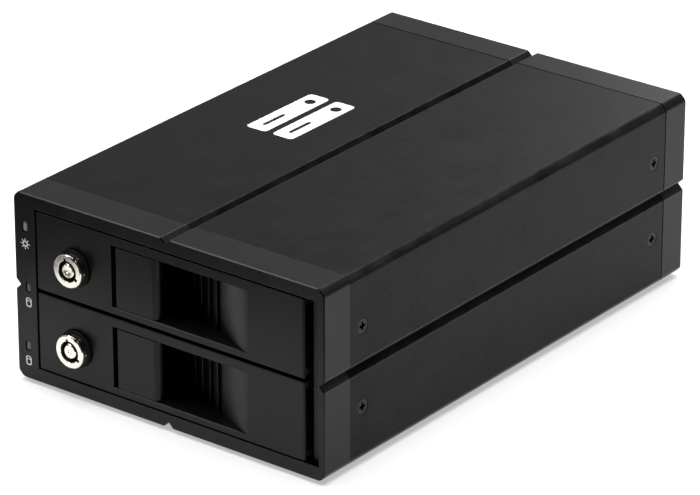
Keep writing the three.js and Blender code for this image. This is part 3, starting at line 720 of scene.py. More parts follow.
# ---------------------------------------------------------------- doors
# A door's finger pocket, in X and in Z above the door's lower edge. Its floor is a ramp that starts in the
# front face at ramp_end and goes down to deep_end, with grooves across it.
POCKET = {"left": -24.0, "deep_end": -3.9, "ramp_end": 35.5, "low": 2.5, "high": 25.3, "shell": 2.4}
RAMP_SLOPE, RAMP_BLEND = 0.501, 9.0  # the ramp's slope, and the length over which it bends into it
GROOVES = {"count": 4, "first": 17.5, "pitch": 5.2, "width": 2.4, "depth": 1.2}
DOOR_FRONT = 0.3
LOCK_X, LOCK_RISE = -40.4, 12.4  # a lock's axis: its X, and its height above the door's lower edge
HINGE_BORE, PADDLE_BORE = 1.28, 0.88  # radii round the door's and the paddle's pin


def ramp_depth(x):
    t = max(POCKET["ramp_end"] - x, 0)
    return DOOR_FRONT + RAMP_SLOPE * t * t / (t + RAMP_BLEND)


def ramp_stations():
    """Points of the pocket floor from its end at the front to its deep end, with the grooves cut in."""
    soft, play, steps = 0.25, 0.02, 56
    half, depth = GROOVES["width"] / 2, GROOVES["depth"]
    grooves = [GROOVES["first"] - i * GROOVES["pitch"] for i in range(GROOVES["count"])]
    stops = []
    for i in range(steps + 1):
        x = POCKET["ramp_end"] + (POCKET["deep_end"] - POCKET["ramp_end"]) * i / steps
        if all(abs(x - g) > half + soft + 0.05 for g in grooves):
            stops.append((x, ramp_depth(x)))
    for g in grooves:
        for side in (1, -1):
            x = g + side * half
            stops.append((x + side * soft, ramp_depth(x + side * soft)))
            stops.append((x, ramp_depth(x) + soft * 0.6))
            stops.append((x - side * play, ramp_depth(x) + depth))
    return sorted(stops, reverse=True)


def pocket_cutters(z):
    """What the finger pocket takes away: its floor is the ramp, and its top and bottom rims are rounded."""
    rim = 0.15
    low, high = z + POCKET["low"], z + POCKET["high"]
    floor = ramp_stations() + [(POCKET["left"], ramp_depth(POCKET["deep_end"]))]
    outline = [(POCKET["ramp_end"] + 6, DOOR_FRONT - 1.5), *floor, (POCKET["left"], DOOR_FRONT - 1.5)]
    cutters = [prism("z", outline, low, high)]
    for edge_z, sign in ((low, -1), (high, 1)):
        profile = [(DOOR_FRONT - 1, edge_z + sign * (rim + 0.3)), (DOOR_FRONT, edge_z + sign * rim)]
        for t in quarter_turn()[1:]:
            profile.append((DOOR_FRONT + rim * math.sin(t), edge_z + sign * rim * (1 - 0.99 * math.sin(t))))
        profile += [(DOOR_FRONT + rim, edge_z - sign * 0.5), (DOOR_FRONT - 1, edge_z - sign * 0.5)]
        cutters.append(prism("x", profile, POCKET["left"] + 0.01, POCKET["ramp_end"] - 5))
    return cutters


def door_slab(left, right, z0, z1, front, back):
    """The door's front wall: small edge radius, and a larger one on the hinge side."""
    levels = (0, 0.02, 0.07, 0.14, 0.24, 0.35, 0.5, 0.7, 1.0)

    def shrink(radius, y):
        return 0 if y >= radius else radius - math.sqrt(max(0.0, radius * radius - (radius - y) ** 2))

    rings = []
    for y in levels:
        small, large = shrink(0.35, y), shrink(1.0, y)
        outline = rounded(rectangle(left + small, right - large, z0 + small, z1 - small), 0.3, 3)
        rings.append((outline, front + y))
    rings.append((rings[-1][0], back))
    return loft("y", rings)


def make_door(bay):
    low, high, _ = extent(f"door_{bay}")
    z, top = low.z, high.z
    left, right, front = low.x, high.x, low.y
    hinge = middle(f"hinge_pin_{bay}")
    pin = middle(f"paddle_pin_{bay}")
    deep = ramp_depth(POCKET["deep_end"])
    shell, wrap = POCKET["shell"], 1.3
    rib, rib_back, face_wall = 1.5, 8.0, 3.0
    line = [(x, ramp_depth(x) + shell) for x in (POCKET["ramp_end"], 31, 26, 20, 12, 4, POCKET["deep_end"])]
    housing = [(POCKET["ramp_end"] + 1, front + 1), *line]
    housing += [(POCKET["left"] - shell, deep + shell), (POCKET["left"] - shell, front + 1)]
    body = join(
        door_slab(left, right, z, top, front, front + face_wall),
        block(left, hinge.x - 4, front + 1, rib_back, z, z + rib),
        block(left, hinge.x - 4, front + 1, rib_back, top - rib, top),
        block(left, left + rib, front + 1, rib_back, z, top),
        block(50, right, front + 1, 6, z, top),
        prism("z", housing, z + POCKET["low"] - wrap, z + POCKET["high"] + wrap),
    )
    notch, notch_height = hinge.x - 2.8, 3.3
    mid = z + (POCKET["low"] + POCKET["high"]) / 2
    body = cut(
        body,
        *pocket_cutters(z),
        block(-24.9, pin.x + 9, deep - 2, deep + 5, *around(mid, 4.2)),
        cylinder("y", LOCK_X, z + LOCK_RISE, 6.05, -1, 12),
        block(notch, right + 1, front + 0.9, 12, z - 1, z + notch_height),
        block(notch, right + 1, front + 0.9, 12, top - notch_height, top + 1),
        cylinder("z", hinge.x, hinge.y, HINGE_BORE, z - 1, top + 1, sides=32),
        cylinder("z", pin.x, pin.y, PADDLE_BORE, z + 1, top - 1, sides=24),
    )
    piece(f"door_shell_{bay}", body, f"door_{bay}", DOOR, f"door_{bay}", smooth=25)


def make_paddle(bay):
    low, high, c = extent(f"paddle_{bay}")
    pin = middle(f"paddle_pin_{bay}")
    left, right, front, back = -22.0, high.x, low.y, low.y + 2.55
    nose_radius, free, arm = 2.5, high.z - 4.5, around(c.z, 3.4)
    plate = [(left, back), (left, front + 0.3), (left + 0.09, front + 0.09), (left + 0.3, front)]
    for t in quarter_turn(10):
        plate.append((right - nose_radius * (1 - math.sin(t)), front + nose_radius * (1 - math.cos(t))))
    plate.append((right, back))
    body = join(
        prism("z", plate, low.z, high.z, 0.12),
        block(*around(pin.x, 1.2), back - 0.5, pin.y, low.z + 0.3, free),
        cylinder("z", pin.x, pin.y, 1.7, low.z, free, 0.15, 32),
        block(*around(pin.x, 1.1), pin.y, high.y, *arm, 0.2),
        block(low.x, -19.6, high.y - 2, high.y, *arm, 0.2),
    )
    body = cut(body, cylinder("z", pin.x, pin.y, PADDLE_BORE, low.z - 1, high.z + 1, sides=24))
    piece(f"latch_paddle_{bay}", body, f"paddle_{bay}", DOOR, f"paddle_{bay}", smooth=25)


def make_pins(bay):
    for node, body, material, slot in (
        (f"hinge_pin_{bay}", f"tray_{bay}", BLACK_STEEL, "black_steel"),
        (f"paddle_pin_{bay}", f"door_{bay}", STEEL, "steel"),
    ):
        low, high, c = extent(node)
        mesh = cylinder("z", c.x, c.y, high.x - c.x, low.z, high.z, 0.2, 32)
        piece(f"{node}_turned", mesh, body, material, node)


def make_spring(bay):
    """Torsion spring round the paddle's pin, in close coils."""
    node = f"paddle_spring_{bay}"
    low, high, _ = extent(node)
    pin = middle(f"paddle_pin_{bay}")
    wire, radius, turns, steps = 0.2, 1.35, 3, 20
    start, end = low.z + wire, high.z - wire
    path = []
    for i in range(turns * steps + 1):
        t = 2 * math.pi * i / steps
        z = start + (end - start) * i / (turns * steps)
        path.append((pin.x + radius * math.cos(t), pin.y + radius * math.sin(t), z))
    piece(f"{node}_wire", tube(path, wire, 8), f"door_{bay}", STEEL, node)


# ---------------------------------------------------------------- locks
def clock(hour):
    """Degrees from +X towards +Z of an hour on a clock face."""
    return 90 - hour * 30


KEY_HOUR = 11.6  # where the plug's key and the notch for it stand


def lock_shell(front, back, c):
    """The lock's body, turned, with notches for the key in its mouth and flats in its rim."""
    cap, barrel, bore, well, well_depth = 6.1, 5.9, 3.65, 3.9, 2.5
    section = rounded(
        [(well, front + 0.12, 0.1), (well + 0.12, front, 0.05), (cap - 0.35, front, 0.15),
         (cap, front + 0.35, 0.15), (cap, -0.95, 0.1), (barrel, -0.9, 0), (barrel, back, 0.3),
         (bore, back, 0.1), (bore, well_depth, 0), (well, well_depth, 0)],
        steps=3,
    )
    notches = []
    for hour, reach, half in ((KEY_HOUR, 1.1, 0.5), (4.0, 1.3, 0.6)):
        notches.append((block(bore - 0.8, bore + reach, front - 1, front + 3.2, *around(0, half)), hour))
    for hour, start, half in ((1.0, front - 1, 0.6), (3.0, front + 1.3, 0.35)):
        notches.append((block(cap - 0.75, cap + 2, start, -1.15, *around(0, half)), hour))
    shell = ring("y", (c.x, c.z), section, 96)
    return cut(shell, *[spun(tool, c, clock(hour)) for tool, hour in notches])


def lock_core(front, back, c):
    """The plug: a post with a small key, a shoulder with seven driver pins, and a square tail for the cam."""
    post, shoulder, tail, pin_circle, floor = 2.6, 3.55, 1.34, 3.1, 2.6
    face = [(0, front + 0.35), (0.7, front + 0.35), (0.85, front + 0.05), (post - 0.3, front)]
    face += [(post, front + 0.3), (post, 2.4), (shoulder, 2.5), (shoulder, 14.7), (0, 14.7)]
    tail_block = block(*around(c.x, tail), 14, back, *around(c.z, tail), 0.15)
    key = block(post - 0.5, post + 0.35, front + 0.4, floor, -0.4, 0.4, 0.08)
    body = join(turned("y", (c.x, c.z), face, 0.06, 64), tail_block)
    body = join(body, spun(key, c, clock(KEY_HOUR)))
    pins = []
    for i in range(7):
        t = math.radians(20 + i * 360 / 7)
        x, z = c.x + pin_circle * math.cos(t), c.z + pin_circle * math.sin(t)
        pins.append(cylinder("y", x, z, 0.38, 1.4 + 0.25 * (i * 3 % 4), floor, 0.1, 16))
    return gather([body, *pins])


def make_lock(bay):
    body_low, body_high, c = extent(f"lock_body_{bay}")
    plug_low, plug_high, _ = extent(f"lock_plug_{bay}")
    centre, origin, door = (c.x, c.z), (c.x, 0, c.z), f"door_{bay}"
    front = body_low.y
    bore, flange = 5.93, 6.9
    washer = [(bore, -0.85, 0.05), (flange - 0.3, -0.85, 0.2), (flange, -0.55, 0.2), (flange, 0.2, 0.1)]
    washer = rounded([*washer, (bore, 0.2, 0)], steps=3)
    piece(f"lock_washer_{bay}", ring("y", centre, washer, 96), door, WASHER)
    # Painted shade: a thin dark lining laid over the floor and wall of the well round the plug's post.
    well, wall, floor, post = 3.87, 3.82, 2.2, 2.66
    lining = [(post, floor), (well, floor), (well, front + 0.5), (wall, front + 0.5), (wall, floor - 0.06)]
    piece(f"lock_well_painted_shade_{bay}", ring("y", centre, [*lining, (post, floor - 0.06)]), door, CHIP)
    shell = lock_shell(front, body_high.y, c)
    piece(f"lock_case_{bay}", shell, door, NICKEL, f"lock_body_{bay}", 28, origin)
    core = lock_core(plug_low.y, plug_high.y, c)
    piece(f"lock_core_{bay}", core, f"lock_plug_{bay}", NICKEL, f"lock_plug_{bay}", 28, origin)


def make_cam_and_nut(bay):
    for part, body, edge in (("lock_cam", "lock_plug", 0.2), ("lock_nut", "door", 0.25)):
        node = f"{part}_{bay}"
        piece(f"{node}_plated", cad_mesh(node, edge), f"{body}_{bay}", STEEL, node)


# ---------------------------------------------------------------- trays and drives
def make_tray(bay):
    """The moulded tray: front wall with windows, slotted floor, ribbed sides with runners, and hinge ears."""
    node = f"tray_{bay}"
    low, high, _ = extent(node)
    z = extent(f"door_{bay}")[0].z
    hinge = middle(f"hinge_pin_{bay}")
    inner, outer, reach = 51.2, 52.9, 57.3
    front, wall_back, floor_top = 19.2, 21.2, low.z + 1.2
    wall = block(-56.5, high.x, front, wall_back, low.z, z + 28, 0.3)
    windows = [(-27.4, -9.0), (6.0, 20.0), (26.0, 40.0)]
    wall = cut(wall, *[block(x0, x1, front - 1, wall_back + 1, z + 7, z + 21, 0.8) for x0, x1 in windows])
    slots = [block(-36, 36, y, y + 30, low.z - 1, floor_top + 1, 0.9) for y in (40, 82, 124)]
    parts = [cut(block(-outer, outer, front, high.y, low.z, floor_top, 0.25), *slots)]
    for sign in (-1, 1):
        parts.append(block(sign * inner, sign * outer, front, high.y, low.z, z + 14, 0.3))
        parts.append(block(sign * (outer - 0.5), sign * reach, wall_back - 1, high.y, z + 6, z + 8.4, 0.3))
        for y in (34.0, 60.0, 86.0, 112.0, 138.0, 160.0):
            rib = sign * (outer - 0.4), sign * (outer + 0.7)
            parts.append(block(*rib, *around(y, 0.7), z + 9.4, z + 13.2, 0.25))
    for x in (-44.0, -34.0, 47.0):
        parts.append(block(*around(x, 0.7), front - 1.2, front + 0.5, z + 3, z + 26.5, 0.25))
    ear_radius, ear_height = 1.9, 2.4
    for bottom in (z + 0.6, z + 25.6):
        ear = join(
            cylinder("z", hinge.x, hinge.y, ear_radius, bottom, bottom + ear_height, 0.2, 40),
            block(*around(hinge.x, ear_radius), hinge.y, wall_back, bottom, bottom + ear_height, 0.2),
        )
        hole = cylinder("z", hinge.x, hinge.y, HINGE_BORE, bottom - 1, bottom + 4, sides=32)
        parts.append(cut(ear, hole))
    piece(f"tray_moulded_{bay}", join(wall, *parts), node, TRAY, node)


def star(x, y, radius):
    """A six-pointed drive recess."""
    corners = []
    for i in range(12):
        r = radius if i % 2 == 0 else radius * 0.78
        corners.append((x + r * math.cos(math.pi * i / 6), y + r * math.sin(math.pi * i / 6)))
    return corners


def drive_casting(low, high, shoulder):
    holes = [
        block(low.x + 4.8, high.x - 4.8, low.y + 50, high.y + 1, low.z - 1, low.z + 2.6),
        block(-21.5, 19.5, high.y - 6.5, high.y + 1, low.z + 2, low.z + 8.2),
    ]
    for y in (28.5, 70.0, 130.1):
        for sign in (-1, 1):
            start, end = sign * (high.x - 4), sign * (high.x + 1)
            holes.append(cylinder("x", low.y + y, low.z + 9.6, 1.55, start, end, sides=24))
    for sign in (-1, 1):
        for y0, y1 in ((36, 62), (78, 122)):
            panel = sign * (high.x - 1.1), sign * (high.x + 1)
            holes.append(block(*panel, low.y + y0, low.y + y1, low.z + 4.5, shoulder - 3, 0.5))
    outline = rounded(rectangle(low.x, high.x, low.y, high.y), 1.6, 5)
    return cut(prism("z", outline, low.z, shoulder, 0.5), *holes)


def drive_lid(low, high, shoulder):
    """The stamped lid with its raised field and a ring round the hub, and the screws that hold it."""
    plate_top = high.z - 0.75
    plate = rounded(rectangle(low.x + 2, high.x - 2, low.y + 2, high.y - 2), 5, 6)
    field = counterclockwise(rounded(
        [(low.x + 7, low.y + 9, 14), (high.x - 7, low.y + 9, 14), (high.x - 7, high.y - 38, 10),
         (high.x - 26, high.y - 12, 8), (low.x + 26, high.y - 12, 8), (low.x + 7, high.y - 38, 10)],
        steps=8,
    ))
    slope = ((-0.6, plate_top - 0.3), (-0.5, plate_top), (-0.12, plate_top + 0.3), (0.2, plate_top + 0.55),
             (0.7, high.z - 0.08))
    raised = loft("z", [(inset(field, narrower), z) for narrower, z in slope])
    lid = join(prism("z", plate, shoulder - 0.2, plate_top, 0.3), raised)
    groove = [(11.2, high.z - 0.35), (11.8, high.z + 1), (10.6, high.z + 1)]
    lid = cut(lid, ring("z", (0, low.y + 62), groove, 48))
    screws = []
    for x in (-44.5, 44.5):
        for y in (low.y + 6.2, low.y + 104, high.y - 6.2):
            lid = cut(lid, cylinder("z", x, y, 3.1, plate_top - 0.9, high.z + 1, sides=32))
            head = cylinder("z", x, y, 2.5, plate_top - 1.0, plate_top - 0.1, 0.2, 32)
            screws.append(cut(head, prism("z", star(x, y, 1.3), plate_top - 0.8, high.z + 1)))
    return lid, gather(screws)


def drive_chips(z):
    """Chips under the drive's board, as X, Y, width and depth."""
    chips = ((-10, 110, 14, 14), (14, 104, 9, 12), (-30, 128, 8, 10), (28, 140, 7, 7), (6, 138, 6, 4),
             (-32, 96, 6, 4), (32, 84, 5, 5), (-14, 146, 4, 3), (20, 124, 4, 3))
    return gather(
        block(*around(x, w / 2), *around(y, d / 2), z - 0.5, z + 0.1, 0.15) for x, y, w, d in chips
    )


def drive_plug(back, z):
    """The drive's data and power plug, and its contacts."""
    slots = ((-19.6, -8.6), (-6.8, 17.6))
    body = block(-20.8, 18.8, back - 6, back, z + 2.3, z + 7.9, 0.25)
    gaps = [block(a, b, back - 4.6, back + 1, z + 3.3, z + 6.9, 0.2) for a, b in slots]
    tongues = [block(a + 0.6, b - 0.6, back - 5, back - 0.5, z + 3.9, z + 5.2, 0.15) for a, b in slots]
    body = join(cut(body, *gaps), *tongues)
    return body, contact_row(((-17.9, 7), (-5.2, 15)), 0.4, back - 4.4, back - 0.8, z + 5.1, z + 5.3)


def contact_row(groups, half, y0, y1, z0, z1):
    """Flat contacts; groups are (X of the first, count)."""
    pitch = 1.5
    places = [start + i * pitch for start, count in groups for i in range(count)]
    return gather(block(*around(x, half), y0, y1, z0, z1) for x in places)


def make_drive(bay):
    """A 3.5 inch drive: cast body with screw holes, stamped lid, plain label, board and connector."""
    body = f"tray_{bay}"
    low, high, _ = extent(f"drive_case_{bay}")
    shoulder = high.z - 3
    cast = drive_casting(low, high, shoulder)
    piece(f"drive_casting_{bay}", cast, body, CAST, f"drive_case_{bay}")
    lid, screws = drive_lid(low, high, shoulder)
    piece(f"drive_lid_{bay}", lid, body, LID)
    piece(f"drive_lid_screws_{bay}", screws, body, SCREW)
    sheet = rounded(rectangle(-38, 38, low.y + 76, high.y - 44), 1.5, 4)
    piece(f"drive_label_{bay}", prism("z", sheet, high.z - 0.1, high.z - 0.01), body, LABEL)
    board = f"drive_board_{bay}"
    piece(f"drive_circuit_{bay}", cad_mesh(board, 0.12), body, BOARD, board)
    piece(f"drive_chips_{bay}", drive_chips(extent(board)[0].z), body, CHIP)
    plug, contacts = drive_plug(high.y - 0.1, low.z)
    piece(f"drive_plug_{bay}", plug, body, SOCKET)
    piece(f"drive_contacts_{bay}", contacts, body, GOLD)


# ---------------------------------------------------------------- inside the case
def make_cage_and_boards():
    piece("cage_folded", cad_mesh("bay_cage", 0.12), "case", STEEL, "bay_cage")
    low, high, _ = extent("backplane")
    vents = [(x, 8, 24, 30) for x in (-44, 44)] + [(x, 9, 55, 60) for x in (-36, -12, 12, 36)]
    vents = [block(*around(x, w), low.y - 1, high.y + 1, z0, z1, 0.9) for x, w, z0, z1 in vents]
    board = cut(node_block("backplane", 0.15), *vents)
    piece("backplane_board", board, "case", BOARD, "backplane")
    for node in ("main_board", "led_board"):
        piece(f"{node}_etched", cad_mesh(node, 0.12), "case", BOARD, node)
    rear, top = high.y, extent("main_board")[1].z
    chips = [
        block(*around(x, w / 2), rear - 0.1, rear + 1.1, *around(z, h / 2), 0.2)
        for x, z, w, h in ((-20, 46, 12, 12), (8, 44, 9, 9), (36, 42, 6, 8), (-44, 48, 8, 6), (24, 24, 6, 6))
    ]
    chips += [
        block(*around(x, w / 2), *around(y, d / 2), top - 0.1, top + 1.1, 0.2)
        for x, y, w, d in ((-31.5, 196, 6.5, 6.5), (-20, 185.5, 11, 6), (-46, 183.2, 7, 4), (-4, 198, 6, 8))
    ]
    piece("board_chips", gather(chips), "case", CHIP)
    cans = [cylinder("z", x, 185.5, 2.1, top - 0.1, top + 6.5, 0.35, 24) for x in (-8.5, -3.5)]
    cans.append(cylinder("y", 44, 49, 2.6, rear - 0.1, rear + 6, 0.35, 24))
    piece("board_cans", gather(cans), "case", LID)


def make_sata_sockets():
    for bay in BAYS:
        node = f"sata_socket_{bay}"
        low, high, _ = extent(node)
        gaps = [
            block(x0, x1, low.y - 1, low.y + 3.4, low.z + 1.4, high.z - 1.4, 0.2)
            for x0, x1 in ((-20.4, -8.0), (-6.4, 18.4))
        ]
        body = cut(node_block(node, 0.3), *gaps)
        rows = ((-18.9, 7), (-4.6, 15))
        contacts = contact_row(rows, 0.35, low.y + 0.6, low.y + 3.6, low.z + 1.3, low.z + 1.7)
        piece(f"{node}_shell", body, "case", SOCKET, node)
        piece(f"{node}_contacts", contacts, "case", GOLD)


# ---------------------------------------------------------------- rear
REAR_RIM = 0.2  # edge radius of the holes in the rear panel


def make_rear_panel():
    """Sheet steel panel with a rounded rim round each port."""
    play = 0.3
    holes = [
        circle(*middle("fan_frame").xz, 23.6, 80),
        circle(*middle("power_jack").xz, 4.6, 40),
        circle(*middle("reset_button").xz, 1.9, 32),
    ]
    for port in ("lan_port", "usb_port"):
        a, b, _ = extent(port)
        holes.append(rounded(rectangle(a.x - play, b.x + play, a.z - play, b.z + play), 0.4))
    c = middle("switch_frame")
    holes.append(rounded(rectangle(*around(c.x, 6.3), *around(c.z, 9.3)), 0.4))
    face = extent("rear_panel")[1].y
    sheet = cut(node_block("rear_panel", 0.2), *[rimmed_hole(hole, face, 3, REAR_RIM, -1) for hole in holes])
    piece("rear_panel_sheet", sheet, "case", BLACK_STEEL, "rear_panel")


def make_lan_port():
    low, high, c = extent("lan_port")
    face, light_z, apart = high.y, high.z - 1.6, 5.6
    places = {side: c.x + sign * apart for side, sign in SIDES.items()}
    windows = [block(*around(x, 1.5), face - 0.6, face + 1, *around(light_z, 0.9)) for x in places.values()]
    piece("lan_shell", cut(cad_mesh("lan_port", 0.12), *windows), "case", STEEL, "lan_port")
    for side, material in (("left", LENS_GREEN), ("right", LENS_AMBER)):
        light = block(*around(places[side], 1.4), face - 0.6, face + 0.05, *around(light_z, 0.8), 0.15)
        piece(f"lan_light_{side}", light, "case", material)
    insert = cut(
        block(*around(c.x, 5.85), low.y + 8.1, face - 0.6, low.z + 2.45, low.z + 10.35),
        block(*around(c.x, 5.3), low.y + 9.5, face + 1, low.z + 2.9, low.z + 10.4),
    )
    piece("lan_insert", insert, "case", SOCKET)
    bends = ((10, 3.3), (12, 3.5), (15, 4.7), (18, 6.1), (18.8, 6.1))
    contacts = []
    for i in range(8):
        x = c.x - 3.57 + i * 1.02
        contacts.append(tube([(x, low.y + y, low.z + z) for y, z in bends], 0.2, 8))
    piece("lan_contacts", gather(contacts), "case", GOLD)


def make_usb_port():
    low, high, c = extent("usb_port")
    mouth = rounded(rectangle(low.x + 0.9, high.x - 0.9, low.z + 1.1, high.z - 1.1), 0.3)
    shell = cut(node_block("usb_port", 0.5), rimmed_hole(mouth, high.y, 13, REAR_RIM, -1))
    piece("usb_shell", shell, "case", STEEL, "usb_port")
    tongue = block(*around(c.x, 5.4), low.y + 2.5, high.y - 1.4, low.z + 3.6, high.z - 1.6, 0.2)
    piece("usb_tongue", tongue, "case", USB_BLUE)
    contacts = [
        block(*around(c.x - 3.5 + i * 2.333, 0.55), low.y + 6, high.y - 2.2, low.z + 3.45, low.z + 3.7)
        for i in range(4)
    ]
    piece("usb_contacts", gather(contacts), "case", GOLD)


def make_power_jack():
    low, high, c = extent("power_jack")
    bore, collar = 3.1, 4.3
    pin_end, pin_tip = high.y - 1.6, high.y - 1
    body = join(
        block(low.x, high.x, low.y, high.y - 2.3, low.z, high.z, 0.4),
        turned("y", c.xz, [(0, high.y - 4), (collar, high.y - 4), (collar, high.y), (0, high.y)], 0.25),
    )
    body = cut(body, rimmed_hole(circle(c.x, c.z, bore, 40), high.y, 11, 0.3, -1))
    piece("jack_body", body, "case", SOCKET, "power_jack")
    start = low.y + 2.8
    pin = turned("y", c.xz, [(0, start), (1, start), (1, pin_end), (0.6, pin_tip), (0, pin_tip)], 0.1, 24)
    piece("jack_pin", pin, "case", GOLD)
    inner, outer = bore - 0.25, bore - 0.02
    lining = rectangle(inner, outer, low.y + 3.4, pin_tip)
    piece("jack_contact", ring("y", c.xz, lining), "case", STEEL)


def make_switch():
    """Rocker switch: the half that is pressed is flat, the other one stands out, with a mark on each."""
    c = middle("switch_frame")
    piece("switch_bezel", cad_mesh("switch_frame", 0.25), "case", SOCKET, "switch_frame")
    low, high, rocker = extent("switch_rocker")
    half, rise, fall, dish = high.z - rocker.z, 1.3, 0.3, 0.18
    ridge = high.y - rise

    def surface(u):
        """Y of the rocker's face at a height above its middle."""
        return ridge - u / half * (rise if u < 0 else fall) - dish * math.cos(math.pi * u / (2 * half))

    steps = [half * (k / 6 - 1) for k in range(13)]
    outline = [(surface(u), rocker.z + u) for u in steps]
    outline += [(low.y, rocker.z + 5.2), (low.y, rocker.z - 5.2)]
    cap = prism("x", outline, low.x, high.x, 0.22)
    piece("rocker_cap", cap, "switch_rocker", DOOR, "switch_rocker")
    on = printed(rectangle(-0.3, 0.3, -1.5, 1.5), sunk=0.2, raised=0.05)
    off = printed(circle(0, 0, 1.35, 32), circle(0, 0, 0.85, 32), sunk=0.2, raised=0.05)
    for name, mesh, u, drop in (("rocker_on", on, -3.4, rise), ("rocker_off", off, 3.4, fall)):
        tilt = Matrix.Rotation(math.atan2(drop, half), 4, "X")
        place = Matrix.Translation((c.x, surface(u), rocker.z + u)) @ tilt
        piece(name, moved(mesh, place), "switch_rocker", PRINT)


def make_reset_button():
    low, high, c = extent("reset_button")
    r, collar, shoulder = 1.6, 2.6, low.y + 1.7
    corners = [(0, low.y), (collar, low.y), (collar, shoulder), (r, shoulder), (r, high.y - 0.15)]
    corners += [(r * 0.6, high.y), (0, high.y)]
    piece("reset_cap", turned("y", c.xz, corners, 0.2, 32), "reset_button", SOCKET, "reset_button")


# ---------------------------------------------------------------- fan
FAN_SCREW = 20.0  # from the fan's axis to its screws, in X and in Z


def fan_screw_places(c):
    return [(c.x + sx * FAN_SCREW, c.z + sz * FAN_SCREW) for sx in (-1, 1) for sz in (-1, 1)]


def make_fan_frame():
    low, high, c = extent("fan_frame")
    half = high.x - c.x
    bore, flare, hub, spoke_back = 23.6, 24.1, 10.0, low.y + 1.2
    holes = [cylinder("y", x, z, 2.0, low.y - 1, high.y + 1, sides=24) for x, z in fan_screw_places(c)]
    holes.append(turned("y", c.xz, [
        (0, low.y - 1), (flare, low.y - 1), (flare, low.y), (bore, low.y + 1.2), (bore, high.y - 1.2),
        (flare, high.y), (flare, high.y + 1), (0, high.y + 1)], 0.2, 80))
    square = rounded(rectangle(*around(c.x, half), *around(c.z, half)), 3, 6)
    body = cut(prism("y", square, low.y, high.y, 0.3), *holes)
    spoke = block(hub - 1, bore + 0.6, low.y + 0.02, spoke_back, -1.2, 1.2, 0.2)
    spokes = [spun(spoke, c, turn) for turn in (-20, -110, -200, -290)]
    mount = cylinder("y", c.x, c.z, hub, low.y, spoke_back, 0.25, 64)
    piece("fan_housing", join(body, mount, *spokes), "case", FAN_PLASTIC, "fan_frame")


def blade_section(share):
    """Outline of a fan blade at a share of its length: cambered, thinning and flattening to the tip."""
    chord = 7.4 + 1.0 * share
    pitch = math.radians(46 - 16 * share)
    thick = 1.15 - 0.55 * share
    sweep = -1.6 * share * share
    upper, lower = [], []
    for k in range(9):
        u = k / 8
        camber = 0.75 * math.sin(math.pi * u)
        t = thick * (0.25 + 0.75 * math.sin(math.pi * min(1.0, u * 0.9 + 0.1))) / 2
        upper.append(((u - 0.5) * chord, camber + t))
        lower.append(((u - 0.5) * chord, camber - t))
    s, c = math.sin(pitch), math.cos(pitch)
    return [(a * s + b * c, a * c - b * s + sweep) for a, b in upper + lower[::-1]]


def make_fan_rotor():
    low, high, _ = extent("fan_rotor")
    c = middle("fan_frame")
    hub, tip, count, root = 11.0, 22.6, 7, 0.6
    back, rim, face = low.y + 0.05, high.y - 0.05, high.y - 0.25
    cup = turned("y", c.xz, [
        (0, back), (hub - 1.4, back), (hub, low.y + 0.6), (hub, high.y - 0.9), (hub - 0.9, rim),
        (hub - 3.6, rim), (hub - 3.8, face), (0, face)], 0.3, 80)
    rings = []
    for k in range(7):
        r = hub - root + (tip - hub + root) * k / 6
        section = blade_section((r - hub) / (tip - hub))
        rings.append(([((low.y + high.y) / 2 + a, b) for a, b in section], r))
    blade = loft("x", rings)
    blades = [spun(blade, c, -360 * i / count) for i in range(count)]
    piece("fan_blades", join(cup, *blades), "fan_rotor", FAN_PLASTIC, "fan_rotor", smooth=40)
    disc = cylinder("y", c.x, c.z, hub - 4.2, high.y - 0.27, high.y - 0.2, 0.0, 64)
    piece("fan_disc", disc, "fan_rotor", LABEL)
    line = ring("y", c.xz, rectangle(3.0, 3.3, high.y - 0.22, high.y - 0.17))
    piece("fan_disc_ring", line, "fan_rotor", CHIP)


def make_fan_guard():
    """Wire rings on four arms that end in an eye round each screw."""
    _, high, guard_middle = extent("fan_guard")
    y, wire = guard_middle.y, 0.58
    c = middle("fan_frame")
    parts = [ring("y", c.xz, circle(radius, y, wire, 12), 72) for radius in (6.3, 12.3, 18.3, 24.3)]
    for turn in (45, 135, 225, 315):
        t = math.radians(turn)
        out = Vector((math.cos(t), 0, math.sin(t)))
        axis = Vector((c.x, y, c.z))
        parts.append(tube([axis + out * reach for reach in (5.8, 15, 26.2)], wire, 12))
        eye = axis + out * 28.28
        parts.append(ring("y", eye.xz, circle(2.1, y, wire, 12), 32))
    piece("guard_wires", join(*parts), "case", BLACK_STEEL, "fan_guard", 50)
    profile = [(0, -1.6), (1.3, -1.6), (1.3, 0.05), (2.7, 0.05), (2.6, 0.8), (1.7, 1.35), (0, 1.45)]
    screws = []
    for x, z in fan_screw_places(c):
        head = turned("y", (x, z), [(r, high.y + a) for r, a in profile], 0.12, 32)
        slots = [
            block(*around(x, a), high.y + 0.7, high.y + 2, *around(z, b)) for a, b in ((1.5, 0.3), (0.3, 1.5))
        ]
        screws.append(cut(head, *slots))
    piece("guard_screws", gather(screws), "case", SCREW)


BAY_PARTS = (
    make_door, make_paddle, make_pins, make_spring, make_lock, make_cam_and_nut, make_tray, make_drive
)
CASE_PARTS = (
    make_sleeve, make_front_bezel, make_rear_bezel, make_case_screws, make_feet, make_lights,
    make_front_marks, make_top_mark, make_cage_and_boards, make_sata_sockets, make_rear_panel,
    make_lan_port, make_usb_port, make_power_jack, make_switch, make_reset_button, make_fan_frame,
    make_fan_rotor, make_fan_guard,
)
for bay in BAYS:
    for make in BAY_PARTS:
        make(bay)
for make in CASE_PARTS:
    make()

